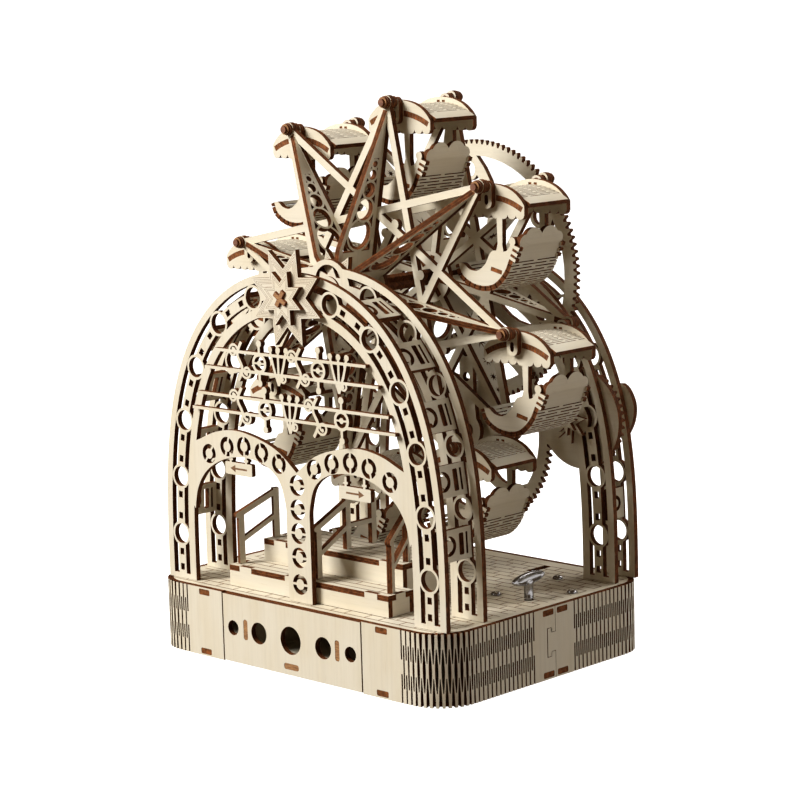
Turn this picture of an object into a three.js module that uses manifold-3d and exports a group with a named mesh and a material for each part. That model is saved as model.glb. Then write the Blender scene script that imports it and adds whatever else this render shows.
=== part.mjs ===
// Plywood Ferris wheel music box: a hand-cranked wheel with eight gondolas between two arches,
// on a rounded base with a drawer and a wind-up musical movement.
// Millimetres, +Z up. Origin at the middle of the base's underside; the gate faces -Y.
import * as THREE from 'three';
import { mergeVertices } from 'three/addons/utils/BufferGeometryUtils.js';
import Module from 'manifold-3d';

const wasm = await Module();
wasm.setup();

// ---------------------------------------------------------------- driving dimensions
const PLY = 3;
const GAP = 0.3;

const BASE = { width: 220, depth: 164, height: 38, corner: 21 };
const DECK = BASE.height;
const DRAWER = { half: 52.3, opening: 53, side: 35, length: 80, floor: 4 };

const ARCH = { half: 93.5, rise: 164, expX: 2.15, expZ: 3.2, band: 22, bore: 5.3 };
const RING = { hole: 5, first: 25.3, step: 32.1, count: 6 };
const Y_GATE = -73.5;
const Y_ARCH_BACK = -46;
const Y_REAR_FRONT = 59;
const Y_REAR_BACK = 76;

const GATE = { column: 8.8, spring: 50, crown: 79.5, band: 13.4 };

const AXLE = { z: 200, arm: 4.6, front: -81.5, back: 80.5 };
const WHEEL = { tip: 99.2, cabins: 8, phase: 124.2, bar: 4, eye: 4.2, pinHole: 2.45 };
const Y_FRAME_FRONT = -17.6;
const Y_FRAME_REAR = 32;
const SPIRE = { outer: 95, shoulder: 22, front: -42.4, rear: 57.5 };

const GEAR = { module: 1.25, addendum: 1, dedendum: 1.35 };
const TEETH = { wheel: 114, pinion: 28, middle: 86, crank: 41 };
const Y_WHEEL_GEAR = 70;
const Y_MIDDLE_GEAR = 66;
const MIDDLE_Z = AXLE.z - (TEETH.wheel + TEETH.pinion) * GEAR.module / 2;
const CRANK_ANGLE = THREE.MathUtils.degToRad(10);
const CRANK_REACH = (TEETH.middle + TEETH.crank) * GEAR.module / 2;
const CRANK = {
  x: CRANK_REACH * Math.cos(CRANK_ANGLE),
  z: MIDDLE_Z + CRANK_REACH * Math.sin(CRANK_ANGLE),
  disc: 27.5, handle: 22.5, front: 55.5, back: 85,
};
// A shaft's bore is drawn with few sides, whose flats lie closer in than its radius: BORE_SLACK
// leaves a twelve-sided bore a running clearance of about 0.06 mm.
const SHAFT = { middle: 4, crank: 3.9 };
const BORE_SLACK = 0.2;

const CABIN = { front: -9, depth: 36, pin: 2.2 };
// The canopy is an arc between the two roof boards, a little below their tops; x and crown are its
// highest point, about the pivot.
const CANOPY = { x: 0.4, crown: -4.6, radius: 43, half: 22.4, sheet: 2 };

const PLATFORM = {
  lower: { half: 60, front: -69, back: -50.3, top: 49.7 },
  upper: { half: 52.5, front: -50, back: -16.5, top: 61.7 },
};

// The winding key's grip is an upright oval plate, `height` above the deck and turned about its shaft.
const KEY = {
  x: 90.5, y: 5, shaft: 2, sleeve: 2.6, height: 11.6, span: 28, grip: 5.6, plate: 2.4, turn: 95,
};

// ---------------------------------------------------------------- materials
const wood = new THREE.MeshStandardMaterial({ color: 0xdcc79f, roughness: 0.65, metalness: 0 });
const steel = new THREE.MeshStandardMaterial({ color: 0xb9bcc0, roughness: 0.3, metalness: 1 });
const brass = new THREE.MeshStandardMaterial({ color: 0xc9a24b, roughness: 0.35, metalness: 1 });

const model = new THREE.Group();

// ---------------------------------------------------------------- shape helpers
function toSolid(geometry) {
  const bare = geometry.clone();
  bare.deleteAttribute('normal');
  bare.deleteAttribute('uv');
  const merged = mergeVertices(bare, 1e-4);
  return new wasm.Manifold(new wasm.Mesh({
    numProp: 3,
    vertProperties: new Float32Array(merged.attributes.position.array),
    triVerts: Uint32Array.from(merged.index.array),
  }));
}

function toGeometry(solid) {
  const mesh = solid.asOriginal().simplify(0.01).getMesh();
  const geometry = new THREE.BufferGeometry();
  geometry.setAttribute('position', new THREE.BufferAttribute(mesh.vertProperties, 3));
  geometry.setIndex(new THREE.BufferAttribute(mesh.triVerts, 1));
  geometry.computeVertexNormals();
  return geometry;
}

function join(geometries) {
  return geometries.map(toSolid).reduce((sum, next) => sum.add(next));
}

function addNode(name, shape, material = wood) {
  const geometry = shape.isBufferGeometry ? shape : toGeometry(shape);
  const mesh = new THREE.Mesh(geometry, material);
  mesh.name = name;
  model.add(mesh);
  return mesh;
}

// A sheet standing across the model: the shape's y is height, and it is `thick` deep along +Y.
function uprightSheet(shape, yFront, thick = PLY, segments = 5) {
  const sheet = new THREE.ExtrudeGeometry(shape, {
    depth: thick, bevelEnabled: false, curveSegments: segments,
  });
  sheet.rotateX(Math.PI / 2);
  return sheet.translate(0, yFront + thick, 0);
}

// A sheet lying flat, `thick` high from z.
function flatSheet(shape, z, thick = PLY, segments = 5) {
  const sheet = new THREE.ExtrudeGeometry(shape, {
    depth: thick, bevelEnabled: false, curveSegments: segments,
  });
  return sheet.translate(0, 0, z);
}

// A sheet standing along the model: the shape's x runs along Y and its y is height.
function sideSheet(shape, xLeft, thick = PLY) {
  const sheet = new THREE.ExtrudeGeometry(shape, {
    depth: thick, bevelEnabled: false, curveSegments: 5,
  });
  const turn = new THREE.Matrix4().makeBasis(
    new THREE.Vector3(0, 1, 0), new THREE.Vector3(0, 0, 1), new THREE.Vector3(1, 0, 0));
  return sheet.applyMatrix4(turn).translate(xLeft, 0, 0);
}

function block(x0, x1, y0, y1, z0, z1) {
  const box = new THREE.BoxGeometry(x1 - x0, y1 - y0, z1 - z0);
  return box.translate((x0 + x1) / 2, (y0 + y1) / 2, (z0 + z1) / 2);
}

function rodAlongY(x, z, radius, y0, y1, sides = 12) {
  const rod = new THREE.CylinderGeometry(radius, radius, y1 - y0, sides);
  return rod.translate(x, (y0 + y1) / 2, z);
}

function rodAlongZ(x, y, radius, z0, z1, sides = 12) {
  const rod = new THREE.CylinderGeometry(radius, radius, z1 - z0, sides);
  return rod.rotateX(Math.PI / 2).translate(x, y, (z0 + z1) / 2);
}

// An outline always runs anticlockwise and a hole in it clockwise.
function shapeOf(points) {
  const outline = points.map(([x, y]) => new THREE.Vector2(x, y));
  return new THREE.Shape(THREE.ShapeUtils.isClockWise(outline) ? outline.reverse() : outline);
}

function pathOf(points) {
  const hole = points.map(([x, y]) => new THREE.Vector2(x, y));
  return new THREE.Path(THREE.ShapeUtils.isClockWise(hole) ? hole : hole.reverse());
}

function circle(x, y, radius) {
  return new THREE.Shape().absarc(x, y, radius, 0, 2 * Math.PI, false);
}

function circleHole(x, y, radius) {
  return new THREE.Path().absarc(x, y, radius, 0, 2 * Math.PI, true);
}

function rectangle(x0, x1, y0, y1) {
  return shapeOf([[x0, y0], [x1, y0], [x1, y1], [x0, y1]]);
}

function roundedRectangle(halfX, halfY, radius) {
  const shape = new THREE.Shape();
  shape.absarc(halfX - radius, halfY - radius, radius, 0, Math.PI / 2);
  shape.absarc(radius - halfX, halfY - radius, radius, Math.PI / 2, Math.PI);
  shape.absarc(radius - halfX, radius - halfY, radius, Math.PI, 1.5 * Math.PI);
  shape.absarc(halfX - radius, radius - halfY, radius, 1.5 * Math.PI, 2 * Math.PI);
  return shape;
}

// ---------------------------------------------------------------- base
function walls() {
  const halfX = BASE.width / 2;
  const halfY = BASE.depth / 2;
  const inner = BASE.corner - PLY;
  const seam = 3;
  const cornerX = halfX - BASE.corner;
  const cornerY = halfY - BASE.corner;
  const right = new THREE.Shape();
  right.moveTo(DRAWER.opening, -halfY);
  right.lineTo(cornerX, -halfY);
  right.absarc(cornerX, -cornerY, BASE.corner, -Math.PI / 2, 0, false);
  right.lineTo(halfX, seam);
  right.lineTo(halfX - PLY, seam);
  right.absarc(cornerX, -cornerY, inner, 0, -Math.PI / 2, true);
  right.lineTo(DRAWER.opening, PLY - halfY);
  const rear = new THREE.Shape();
  rear.moveTo(halfX, seam + GAP);
  rear.lineTo(halfX, cornerY);
  rear.absarc(cornerX, cornerY, BASE.corner, 0, Math.PI / 2, false);
  rear.absarc(-cornerX, cornerY, BASE.corner, Math.PI / 2, Math.PI, false);
  rear.lineTo(-halfX, seam + GAP);
  rear.lineTo(PLY - halfX, seam + GAP);
  rear.absarc(-cornerX, cornerY, inner, Math.PI, Math.PI / 2, true);
  rear.absarc(cornerX, cornerY, inner, Math.PI / 2, 0, true);
  rear.lineTo(halfX - PLY, seam + GAP);
  const left = mirrored(right);
  addNode('wall_front_right', flatSheet(right, 0, BASE.height));
  addNode('wall_front_left', flatSheet(left, 0, BASE.height));
  addNode('wall_rear', flatSheet(rear, 0, BASE.height));
}

function mirrored(shape) {
  const points = shape.getPoints(5).map((p) => new THREE.Vector2(-p.x, p.y));
  return new THREE.Shape(points.reverse());
}

function basePlates() {
  const inset = PLY + GAP;
  const plate = () => roundedRectangle(
    BASE.width / 2 - inset, BASE.depth / 2 - inset, BASE.corner - inset);
  addNode('base_bottom_plate', flatSheet(plate(), 0));
  const deck = plate();
  deck.holes.push(circleHole(KEY.x, KEY.y, KEY.shaft + 0.6));
  const slotFront = { x: 48, y: 62, halfX: 2.5, halfY: 8 };
  deck.holes.push(pathOf([
    [slotFront.x - slotFront.halfX, slotFront.y - slotFront.halfY],
    [slotFront.x - slotFront.halfX, slotFront.y + slotFront.halfY],
    [slotFront.x + slotFront.halfX, slotFront.y + slotFront.halfY],
    [slotFront.x + slotFront.halfX, slotFront.y - slotFront.halfY],
  ]));
  for (const [x, y] of SCREW_PLACES) {
    deck.holes.push(circleHole(x, y, SCREW.hole));
  }
  addNode('deck_plate', flatSheet(deck, DECK - PLY));
}

// ---------------------------------------------------------------- drawer
function drawer() {
  const front = PLY - BASE.depth / 2;
  const back = front + DRAWER.length;
  const low = DRAWER.floor;
  const high = 30;
  const face = rectangle(-DRAWER.half, DRAWER.half, 0.6, BASE.height - 0.6);
  const middle = 19.5;
  const holes = [[0, 7.5], [24, 5.7], [-24, 5.7], [44, 3.8], [-44, 3.8]];
  for (const [x, radius] of holes) {
    face.holes.push(circleHole(x, middle, radius));
  }
  addNode('drawer_front', uprightSheet(face, -BASE.depth / 2, PLY, 7));
  const side = DRAWER.side;
  const inner = side - PLY / 2;
  addNode('drawer_side_right',
    block(inner, inner + PLY, front + GAP, back, low, high));
  addNode('drawer_side_left',
    block(-inner - PLY, -inner, front + GAP, back, low, high));
  addNode('drawer_floor',
    block(GAP - inner, inner - GAP, front + GAP, back, low, low + PLY));
  addNode('drawer_back',
    block(GAP - inner, inner - GAP, back - PLY, back, low + PLY + GAP, high));
}

// ---------------------------------------------------------------- musical movement and key
const SCREW = { shank: 1.3, hole: 1.7, head: 2.8, headHeight: 1.6 };
const SCREW_PLACES = [[70, 2], [99, 30], [72, 50]];
const MOVEMENT = {
  x0: 64, x1: 104.5, y0: -8, y1: 56, top: 34.7, plate: 2.5,
  drum: { y: 42, z: 22, radius: 7, axle: 1.5 },
  fly: { x: 70.5, y: 8, rod: 1 },
};

// A round bar on the pin drum's axis, which runs along X in the middle of the movement.
function drumRod(radius, length, sides) {
  const { x0, x1, drum } = MOVEMENT;
  const rod = new THREE.CylinderGeometry(radius, radius, length, sides);
  return rod.rotateZ(Math.PI / 2).translate((x0 + x1) / 2, drum.y, drum.z);
}

function movement() {
  const m = MOVEMENT;
  const plateLow = m.top - m.plate;
  let frame = join([
    block(m.x0, m.x1, m.y0, m.y1, plateLow, m.top),
    block(m.x0 + 2, m.x0 + 5, m.drum.y - 6, m.drum.y + 6, 14, plateLow + 0.5),
    block(m.x1 - 5, m.x1 - 2, m.drum.y - 6, m.drum.y + 6, 14, plateLow + 0.5),
    block(m.x0 + 9, m.x1 - 9, 14, 30, plateLow - 5, plateLow + 0.5),
    block(m.x0 + 9, m.x1 - 9, 26, m.drum.y - 8.6, plateLow - 6, plateLow - 4.8),
    rodAlongZ(KEY.x, KEY.y, 11, 12, plateLow + 0.5, 16),
  ]);
  frame = frame.subtract(toSolid(rodAlongZ(KEY.x, KEY.y, KEY.shaft + 0.12, 18, m.top + 1)));
  for (const [x, y] of SCREW_PLACES) {
    frame = frame.subtract(toSolid(rodAlongZ(x, y, SCREW.hole, plateLow - 8, m.top + 1, 10)));
  }
  const { drum, fly } = m;
  const flyBore = rodAlongZ(fly.x, fly.y, fly.rod + 0.12, plateLow - 3, m.top + 1);
  const drumBore = drumRod(drum.axle + 0.14, m.x1 - m.x0, 12);
  addNode('movement_frame', frame.subtract(toSolid(drumBore)).subtract(toSolid(flyBore)), brass);

  const drumBody = drumRod(drum.radius, m.x1 - m.x0 - 14, 20);
  const drumAxle = drumRod(drum.axle, m.x1 - m.x0 - 3, 10);
  addNode('movement_drum', join([drumBody, drumAxle]), brass);

  const vane = { half: 5, thick: 0.8, low: 15, high: 22 };
  addNode('movement_governor', join([
    rodAlongZ(fly.x, fly.y, fly.rod, 14, m.top - 0.4, 10),
    block(fly.x - vane.half, fly.x + vane.half, fly.y - vane.thick / 2, fly.y + vane.thick / 2,
      vane.low, vane.high),
  ]), brass);

  for (const [index, [x, y]] of SCREW_PLACES.entries()) {
    const screw = join([
      rodAlongZ(x, y, SCREW.shank, plateLow - 3, DECK + 1, 10),
      rodAlongZ(x, y, SCREW.head, DECK + GAP, DECK + GAP + SCREW.headHeight, 12),
    ]);
    addNode(`movement_screw_${index + 1}`, screw, steel);
  }
}

function windingKey() {
  const middle = DECK + KEY.height;
  const oval = new THREE.Shape();
  oval.absellipse(0, middle, KEY.span / 2, KEY.grip / 2, 0, 2 * Math.PI);
  const grip = new THREE.ExtrudeGeometry(oval, {
    depth: KEY.plate, bevelEnabled: false, curveSegments: 12,
  });
  grip.rotateX(Math.PI / 2).translate(0, KEY.plate / 2, 0);
  grip.rotateZ(THREE.MathUtils.degToRad(KEY.turn)).translate(KEY.x, KEY.y, 0);
  addNode('winding_key', join([
    grip,
    rodAlongZ(KEY.x, KEY.y, KEY.shaft, 20, middle, 12),
    rodAlongZ(KEY.x, KEY.y, KEY.sleeve, DECK + 0.6, middle, 12),
  ]), steel);
}

// ---------------------------------------------------------------- arches
// The arch's centre line, measured by length along it from the right foot.
const archLine = (() => {
  const samples = 600;
  const points = [];
  for (let i = 0; i <= samples; i++) {
    const t = Math.PI * i / samples;
    const c = Math.cos(t);
    const x = Math.sign(c) * ARCH.half * Math.abs(c) ** (2 / ARCH.expX);
    const z = DECK + ARCH.rise * Math.sin(t) ** (2 / ARCH.expZ);
    points.push(new THREE.Vector2(x, i === samples ? DECK : z));
  }
  const lengths = [0];
  for (let i = 1; i <= samples; i++) {
    lengths.push(lengths[i - 1] + points[i].distanceTo(points[i - 1]));
  }
  return { points, lengths, total: lengths[samples] };
})();

// A point at length s along the centre line, moved out (+) or in (-) by `offset`.
function archPoint(s, offset = 0) {
  const { points, lengths, total } = archLine;
  const at = Math.min(Math.max(s, 0), total);
  let i = lengths.findIndex((length) => length >= at);
  i = Math.max(i, 1);
  const share = (at - lengths[i - 1]) / (lengths[i] - lengths[i - 1]);
  const here = points[i - 1].clone().lerp(points[i], share);
  const before = archSample(at - 4);
  const after = archSample(at + 4);
  const along = after.sub(before).normalize();
  const footed = at < 1 || at > total - 1;
  const out = footed ? new THREE.Vector2(Math.sign(here.x), 0)
    : new THREE.Vector2(along.y, -along.x);
  return [here.x + out.x * offset, here.y + out.y * offset];
}

function archSample(s) {
  const { points, lengths, total } = archLine;
  const at = Math.min(Math.max(s, 0), total);
  const i = Math.max(lengths.findIndex((length) => length >= at), 1);
  const share = (at - lengths[i - 1]) / (lengths[i] - lengths[i - 1]);
  return points[i - 1].clone().lerp(points[i], share);
}

function ringPlaces() {
  const places = [];
  for (let i = 0; i < RING.count; i++) {
    const s = RING.first + RING.step * i;
    places.push(s, archLine.total - s);
  }
  return places;
}

function archBand(withSlits) {
  const steps = 26;
  const outer = [];
  const inner = [];
  for (let i = 0; i <= steps; i++) {
    const s = archLine.total * i / steps;
    outer.push(archPoint(s, ARCH.band / 2));
    inner.push(archPoint(s, -ARCH.band / 2));
  }
  const band = shapeOf([...outer, ...inner.reverse()]);
  for (const s of ringPlaces()) {
    band.holes.push(circleHole(...archPoint(s), RING.hole));
  }
  if (withSlits) {
    for (const start of slitStarts()) {
      band.holes.push(slit(start, 3.4, 6.9), slit(start, -6.2, -3.2));
    }
  }
  band.holes.push(circleHole(0, AXLE.z, ARCH.bore));
  return band;
}

function slitStarts() {
  const clear = 7.5;
  const starts = [];
  for (let i = 0; i < RING.count - 1; i++) {
    const s = RING.first + RING.step * i + clear;
    const span = RING.step - 2 * clear;
    starts.push([s, s + span], [archLine.total - s - span, archLine.total - s]);
  }
  return starts;
}

function slit([from, to], low, high) {
  return pathOf([
    archPoint(from, low), archPoint(to, low), archPoint(to, high), archPoint(from, high),
  ]);
}

function gateShape() {
  const half = GATE.column;
  const low = GATE.crown - GATE.band / 2 + DECK;
  const high = GATE.crown + GATE.band / 2 + DECK;
  const shape = new THREE.Shape();
  shape.moveTo(-half, DECK + GAP);
  shape.lineTo(half, DECK + GAP);
  shape.lineTo(half, DECK + GATE.spring);
  shape.splineThru([
    new THREE.Vector2(13, low - 9), new THREE.Vector2(22, low - 3), new THREE.Vector2(40, low),
    new THREE.Vector2(56, low - 2), new THREE.Vector2(70, low - 9), new THREE.Vector2(80.5, low - 26),
  ]);
  shape.lineTo(86, low - 20);
  shape.lineTo(84, low + 4);
  shape.splineThru([
    new THREE.Vector2(66, high - 6), new THREE.Vector2(40, high), new THREE.Vector2(18, high - 3.5),
    new THREE.Vector2(0, high - 12),
    new THREE.Vector2(-18, high - 3.5), new THREE.Vector2(-40, high), new THREE.Vector2(-66, high - 6),
    new THREE.Vector2(-84, low + 4),
  ]);
  shape.lineTo(-86, low - 20);
  shape.lineTo(-80.5, low - 26);
  shape.splineThru([
    new THREE.Vector2(-70, low - 9), new THREE.Vector2(-56, low - 2), new THREE.Vector2(-40, low),
    new THREE.Vector2(-22, low - 3), new THREE.Vector2(-13, low - 9),
    new THREE.Vector2(-half, DECK + GATE.spring),
  ]);
  const eyes = [[13, 73], [26, 77.5], [40, 79.4], [53, 78], [68, 73]];
  for (const [x, z] of eyes) {
    shape.holes.push(circleHole(x, z + DECK, 4.3), circleHole(-x, z + DECK, 4.3));
  }
  for (const z of [10, 25, 37.5, 50, 62]) {
    shape.holes.push(circleHole(0, z + DECK, 4.6));
  }
  return shape;
}

function frontArch() {
  const band = toSolid(uprightSheet(archBand(true), Y_GATE, PLY, 4));
  const gate = toSolid(uprightSheet(gateShape(), Y_GATE, PLY, 3));
  const foot = toSolid(block(-120, 120, -90, 90, DECK - 20, DECK + GAP));
  const holes = toSolid(uprightSheet(ringStrip(), Y_GATE - 1, PLY + 2));
  addNode('front_arch_gate_plate', band.add(gate.subtract(holes)).subtract(foot));
  const back = toSolid(uprightSheet(archBand(true), Y_ARCH_BACK, PLY, 4));
  addNode('front_arch_back_plate', back.subtract(foot));
}

// One narrow strip along each leg's ring row, so the gate's haunches leave the rings open.
function ringStrip() {
  const steps = 8;
  const outer = [];
  const inner = [];
  for (let i = 0; i <= steps; i++) {
    const s = 20 + (archLine.total / 2 - 60) * i / steps;
    outer.push(archPoint(s, 11));
    inner.push(archPoint(s, -7));
  }
  return shapeOf([...outer, ...inner.reverse()]);
}

function rearArch() {
  const foot = toSolid(block(-120, 120, -90, 90, DECK - 20, DECK + GAP));
  for (const [name, y] of [['front', Y_REAR_FRONT], ['back', Y_REAR_BACK]]) {
    const band = toSolid(uprightSheet(archBand(false), y, PLY, 4));
    const spine = toSolid(uprightSheet(rectangle(-6, 6, MIDDLE_Z, AXLE.z - ARCH.bore - 3), y));
    const hub = toSolid(uprightSheet(circle(0, MIDDLE_Z, 9), y));
    const lug = toSolid(uprightSheet(circle(CRANK.x, CRANK.z, 9), y));
    const bores = join([
      rodAlongY(0, MIDDLE_Z, SHAFT.middle + BORE_SLACK, y - 1, y + PLY + 1),
      rodAlongY(CRANK.x, CRANK.z, SHAFT.crank + BORE_SLACK, y - 1, y + PLY + 1),
    ]);
    const plate = band.add(spine).add(hub).add(lug).subtract(bores).subtract(foot);
    addNode(`rear_arch_${name}_plate`, plate);
  }
}

// A cross plate on the link bar between two rings, from one arch plate to the other.
function spacer(name, s, yFrom, yTo) {
  const [x, z] = archPoint(s);
  const [ax, az] = archPoint(s - 5);
  const [bx, bz] = archPoint(s + 5);
  const outline = rectangle(-8, 8, yFrom + GAP, yTo - GAP);
  outline.holes.push(circleHole(0, (yFrom + yTo) / 2, 4.5));
  const plate = flatSheet(outline, -PLY / 2);
  plate.rotateY(-Math.atan2(bz - az, bx - ax)).translate(x, 0, z);
  addNode(name, plate);
}

function spacers() {
  const lowAt = RING.first + RING.step * 0.5;
  const highAt = RING.first + RING.step * 3.5;
  const front = [Y_GATE + PLY, Y_ARCH_BACK];
  const rear = [Y_REAR_FRONT + PLY, Y_REAR_BACK];
  spacer('front_spacer_right_low', lowAt, ...front);
  spacer('front_spacer_right_high', highAt, ...front);
  spacer('front_spacer_left_low', archLine.total - lowAt, ...front);
  spacer('front_spacer_left_high', archLine.total - highAt, ...front);
  spacer('rear_spacer_right', lowAt, ...rear);
  spacer('rear_spacer_left', archLine.total - lowAt, ...rear);
}

// ---------------------------------------------------------------- sign
function signRow(name, lowZ, highZ, lowHalf, highHalf, circles) {
  const y = Y_GATE - PLY - GAP;
  const bar = 1.1;
  const parts = [
    uprightSheet(rectangle(-lowHalf, lowHalf, lowZ - bar, lowZ + bar), y),
    uprightSheet(rectangle(-highHalf, highHalf, highZ - bar, highZ + bar), y),
  ];
  const radius = (highZ - lowZ) / 2 + 2.5;
  for (let i = 0; i < circles; i++) {
    const x = (i - (circles - 1) / 2) * 24;
    const scroll = circle(x, (lowZ + highZ) / 2, radius);
    scroll.holes.push(circleHole(x, (lowZ + highZ) / 2, radius - 1.8));
    parts.push(uprightSheet(scroll, y, PLY, 4));
  }
  addNode(name, join(parts));
}

function sign() {
  signRow('sign_upper_scroll', 159, 169, 65, 56.5, 3);
  signRow('sign_lower_scroll', 136, 144.5, 76, 71.5, 4);
}

// ---------------------------------------------------------------- platform and railings
function steps() {
  for (const [name, step] of Object.entries(PLATFORM)) {
    const wall = join([
      block(-step.half, step.half, step.front, step.back, step.top - PLY, step.top),
      block(-step.half, step.half, step.front, step.front + PLY, DECK + GAP, step.top - 1),
      block(-step.half, step.half, step.back - PLY, step.back, DECK + GAP, step.top - 1),
      block(-step.half, PLY - step.half, step.front, step.back, DECK + GAP, step.top - 1),
      block(step.half - PLY, step.half, step.front, step.back, DECK + GAP, step.top - 1),
      block(-1.5, 1.5, step.front, step.back, DECK + GAP, step.top - 1),
    ]);
    const cutsLow = toSolid(block(-step.half + 8, -8, step.back - PLY - 1, step.back + 1,
      DECK - 1, step.top - PLY - 3));
    const cutsHigh = toSolid(block(8, step.half - 8, step.back - PLY - 1, step.back + 1,
      DECK - 1, step.top - PLY - 3));
    addNode(`platform_${name}_step`, wall.subtract(cutsLow).subtract(cutsHigh));
  }
}

// A railing is one flat piece: a post on each step and two sloping rails.
function railing(name, x0, y0, x1, y1, tail) {
  const low = PLATFORM.lower.top + GAP;
  const high = PLATFORM.upper.top + GAP;
  const run = Math.hypot(x1 - x0, y1 - y0);
  const post = 27.5;
  const width = 3.6;
  const rail = 3;
  const bars = [
    rectangle(-width / 2, width / 2, low, low + post),
    rectangle(run - width / 2, run + width / 2, high, high + post),
    shapeOf([[-width / 2, low + post - rail], [run, high + post - rail],
      [run, high + post], [-width / 2, low + post]]),
    shapeOf([[0, low + 11], [run, high + 11], [run, high + 11 + rail], [0, low + 11 + rail]]),
  ];
  if (tail > 0) {
    bars.push(rectangle(run, run + tail, high + post - rail, high + post));
    bars.push(rectangle(run, run + tail, high + 11, high + 11 + rail));
    bars.push(rectangle(run + tail - width, run + tail, high, high + post));
  }
  const sheets = bars.map((bar) => sideSheet(bar, -PLY / 2));
  const angle = Math.atan2(x0 - x1, y1 - y0);
  for (const sheet of sheets) {
    sheet.rotateZ(angle).translate(x0, y0, 0);
  }
  addNode(name, join(sheets));
}

function railings() {
  railing('railing_left', -56.5, -63, -49.3, -43.5, 0);
  railing('railing_right', 56.5, -63, 49.3, -43.5, 0);
  railing('railing_middle', 3, -63, 3, -41, 21);
}

// ---------------------------------------------------------------- wheel
function crossSection(arm, half) {
  return [
    [-arm, -half], [-half, -half], [-half, -arm], [half, -arm], [half, -half], [arm, -half],
    [arm, half], [half, half], [half, arm], [-half, arm], [-half, half], [-arm, half],
  ];
}

// The cross stands between the directions of the spires, on the axle's own height.
function onAxle([x, z]) {
  const turn = THREE.MathUtils.degToRad(WHEEL.phase - 90 + 180 / WHEEL.cabins);
  const cos = Math.cos(turn);
  const sin = Math.sin(turn);
  return [x * cos - z * sin, AXLE.z + x * sin + z * cos];
}

function crossHole() {
  const slack = 0.15;
  return crossSection(AXLE.arm + slack, PLY / 2 + slack).map(onAxle);
}

function axle() {
  const outline = crossSection(AXLE.arm, PLY / 2).map(onAxle);
  const length = AXLE.back - AXLE.front;
  addNode('wheel_axle', uprightSheet(shapeOf(outline), AXLE.front, length));
}

function starOutline(points, outer, inner, turn = 0) {
  const outline = [];
  for (let i = 0; i < 2 * points; i++) {
    const radius = i % 2 ? inner : outer;
    const angle = turn + Math.PI * i / points;
    outline.push([radius * Math.cos(angle), AXLE.z + radius * Math.sin(angle)]);
  }
  return outline;
}

function starCap() {
  const back = shapeOf(starOutline(8, 25, 13, Math.PI / 8));
  const front = shapeOf(starOutline(8, 17, 8.5));
  const cap = join([
    uprightSheet(back, Y_GATE - PLY - 0.7),
    uprightSheet(front, Y_GATE - 2 * PLY - 0.7, PLY + 0.2),
  ]);
  const slot = toSolid(uprightSheet(shapeOf(crossHole()), Y_GATE - 12, 14));
  addNode('wheel_star_cap', cap.subtract(slot));
}

function tipPoint(index, radius = WHEEL.tip) {
  const angle = THREE.MathUtils.degToRad(WHEEL.phase - 360 * index / WHEEL.cabins);
  return [radius * Math.cos(angle), AXLE.z + radius * Math.sin(angle)];
}

function latticeBar([ax, az], [bx, bz], width) {
  const length = Math.hypot(bx - ax, bz - az);
  const nx = -(bz - az) / length * width / 2;
  const nz = (bx - ax) / length * width / 2;
  return shapeOf([[ax - nx, az - nz], [bx - nx, bz - nz], [bx + nx, bz + nz], [ax + nx, az + nz]]);
}

// A radial plate from the hub to a tip: its straight edge stands on the lattice, tenoned into
// it at both ends, and its sloping edge runs out to the arch side.
function spire(index, yStar, yHub) {
  const side = Math.sign(yHub - yStar);
  const face = yStar + side * (PLY + GAP);
  const hubEnd = 7;
  const tenon = 5;
  const outline = shapeOf([
    [hubEnd, yStar], [hubEnd + tenon, yStar], [hubEnd + tenon, face],
    [SPIRE.outer - tenon, face], [SPIRE.outer - tenon, yStar], [SPIRE.outer, yStar],
    [SPIRE.outer, face], [SPIRE.shoulder, yHub], [hubEnd, yHub],
  ]);
  const slope = Math.abs(yHub - face) / (SPIRE.outer - SPIRE.shoulder);
  for (const [r, radius] of [[33, 6.4], [52, 3.8]]) {
    const depth = (SPIRE.outer - r) * slope;
    outline.holes.push(circleHole(r, face + side * depth / 2, radius));
  }
  const plate = new THREE.ExtrudeGeometry(outline, {
    depth: PLY, bevelEnabled: false, curveSegments: 3,
  });
  plate.translate(0, 0, -PLY / 2);
  const angle = WHEEL.phase - 360 * index / WHEEL.cabins;
  plate.rotateY(-THREE.MathUtils.degToRad(angle));
  return plate.translate(0, 0, AXLE.z);
}

function wheelFrame(name, yStar, yHubEnd, side) {
  const parts = [];
  for (let i = 0; i < WHEEL.cabins; i++) {
    parts.push(uprightSheet(latticeBar(tipPoint(i), tipPoint(i + 3), WHEEL.bar), yStar));
    parts.push(uprightSheet(circle(...tipPoint(i), WHEEL.eye), yStar, PLY, 4));
    const inward = side < 0 ? yStar + PLY : yStar;
    parts.push(spire(i, inward, yHubEnd));
  }
  parts.push(uprightSheet(circle(0, AXLE.z, 12), yStar, PLY, 4));
  const hubFront = side < 0 ? yHubEnd : yHubEnd - PLY;
  parts.push(uprightSheet(shapeOf(starOutline(8, 22, 13)), hubFront));
  const cuts = [uprightSheet(shapeOf(crossHole()), yStar - 60, 120)];
  for (let i = 0; i < WHEEL.cabins; i++) {
    cuts.push(rodAlongY(...tipPoint(i), WHEEL.pinHole, yStar - 1, yStar + PLY + 1, 8));
  }
  addNode(name, join(parts).subtract(join(cuts)));
}

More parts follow.
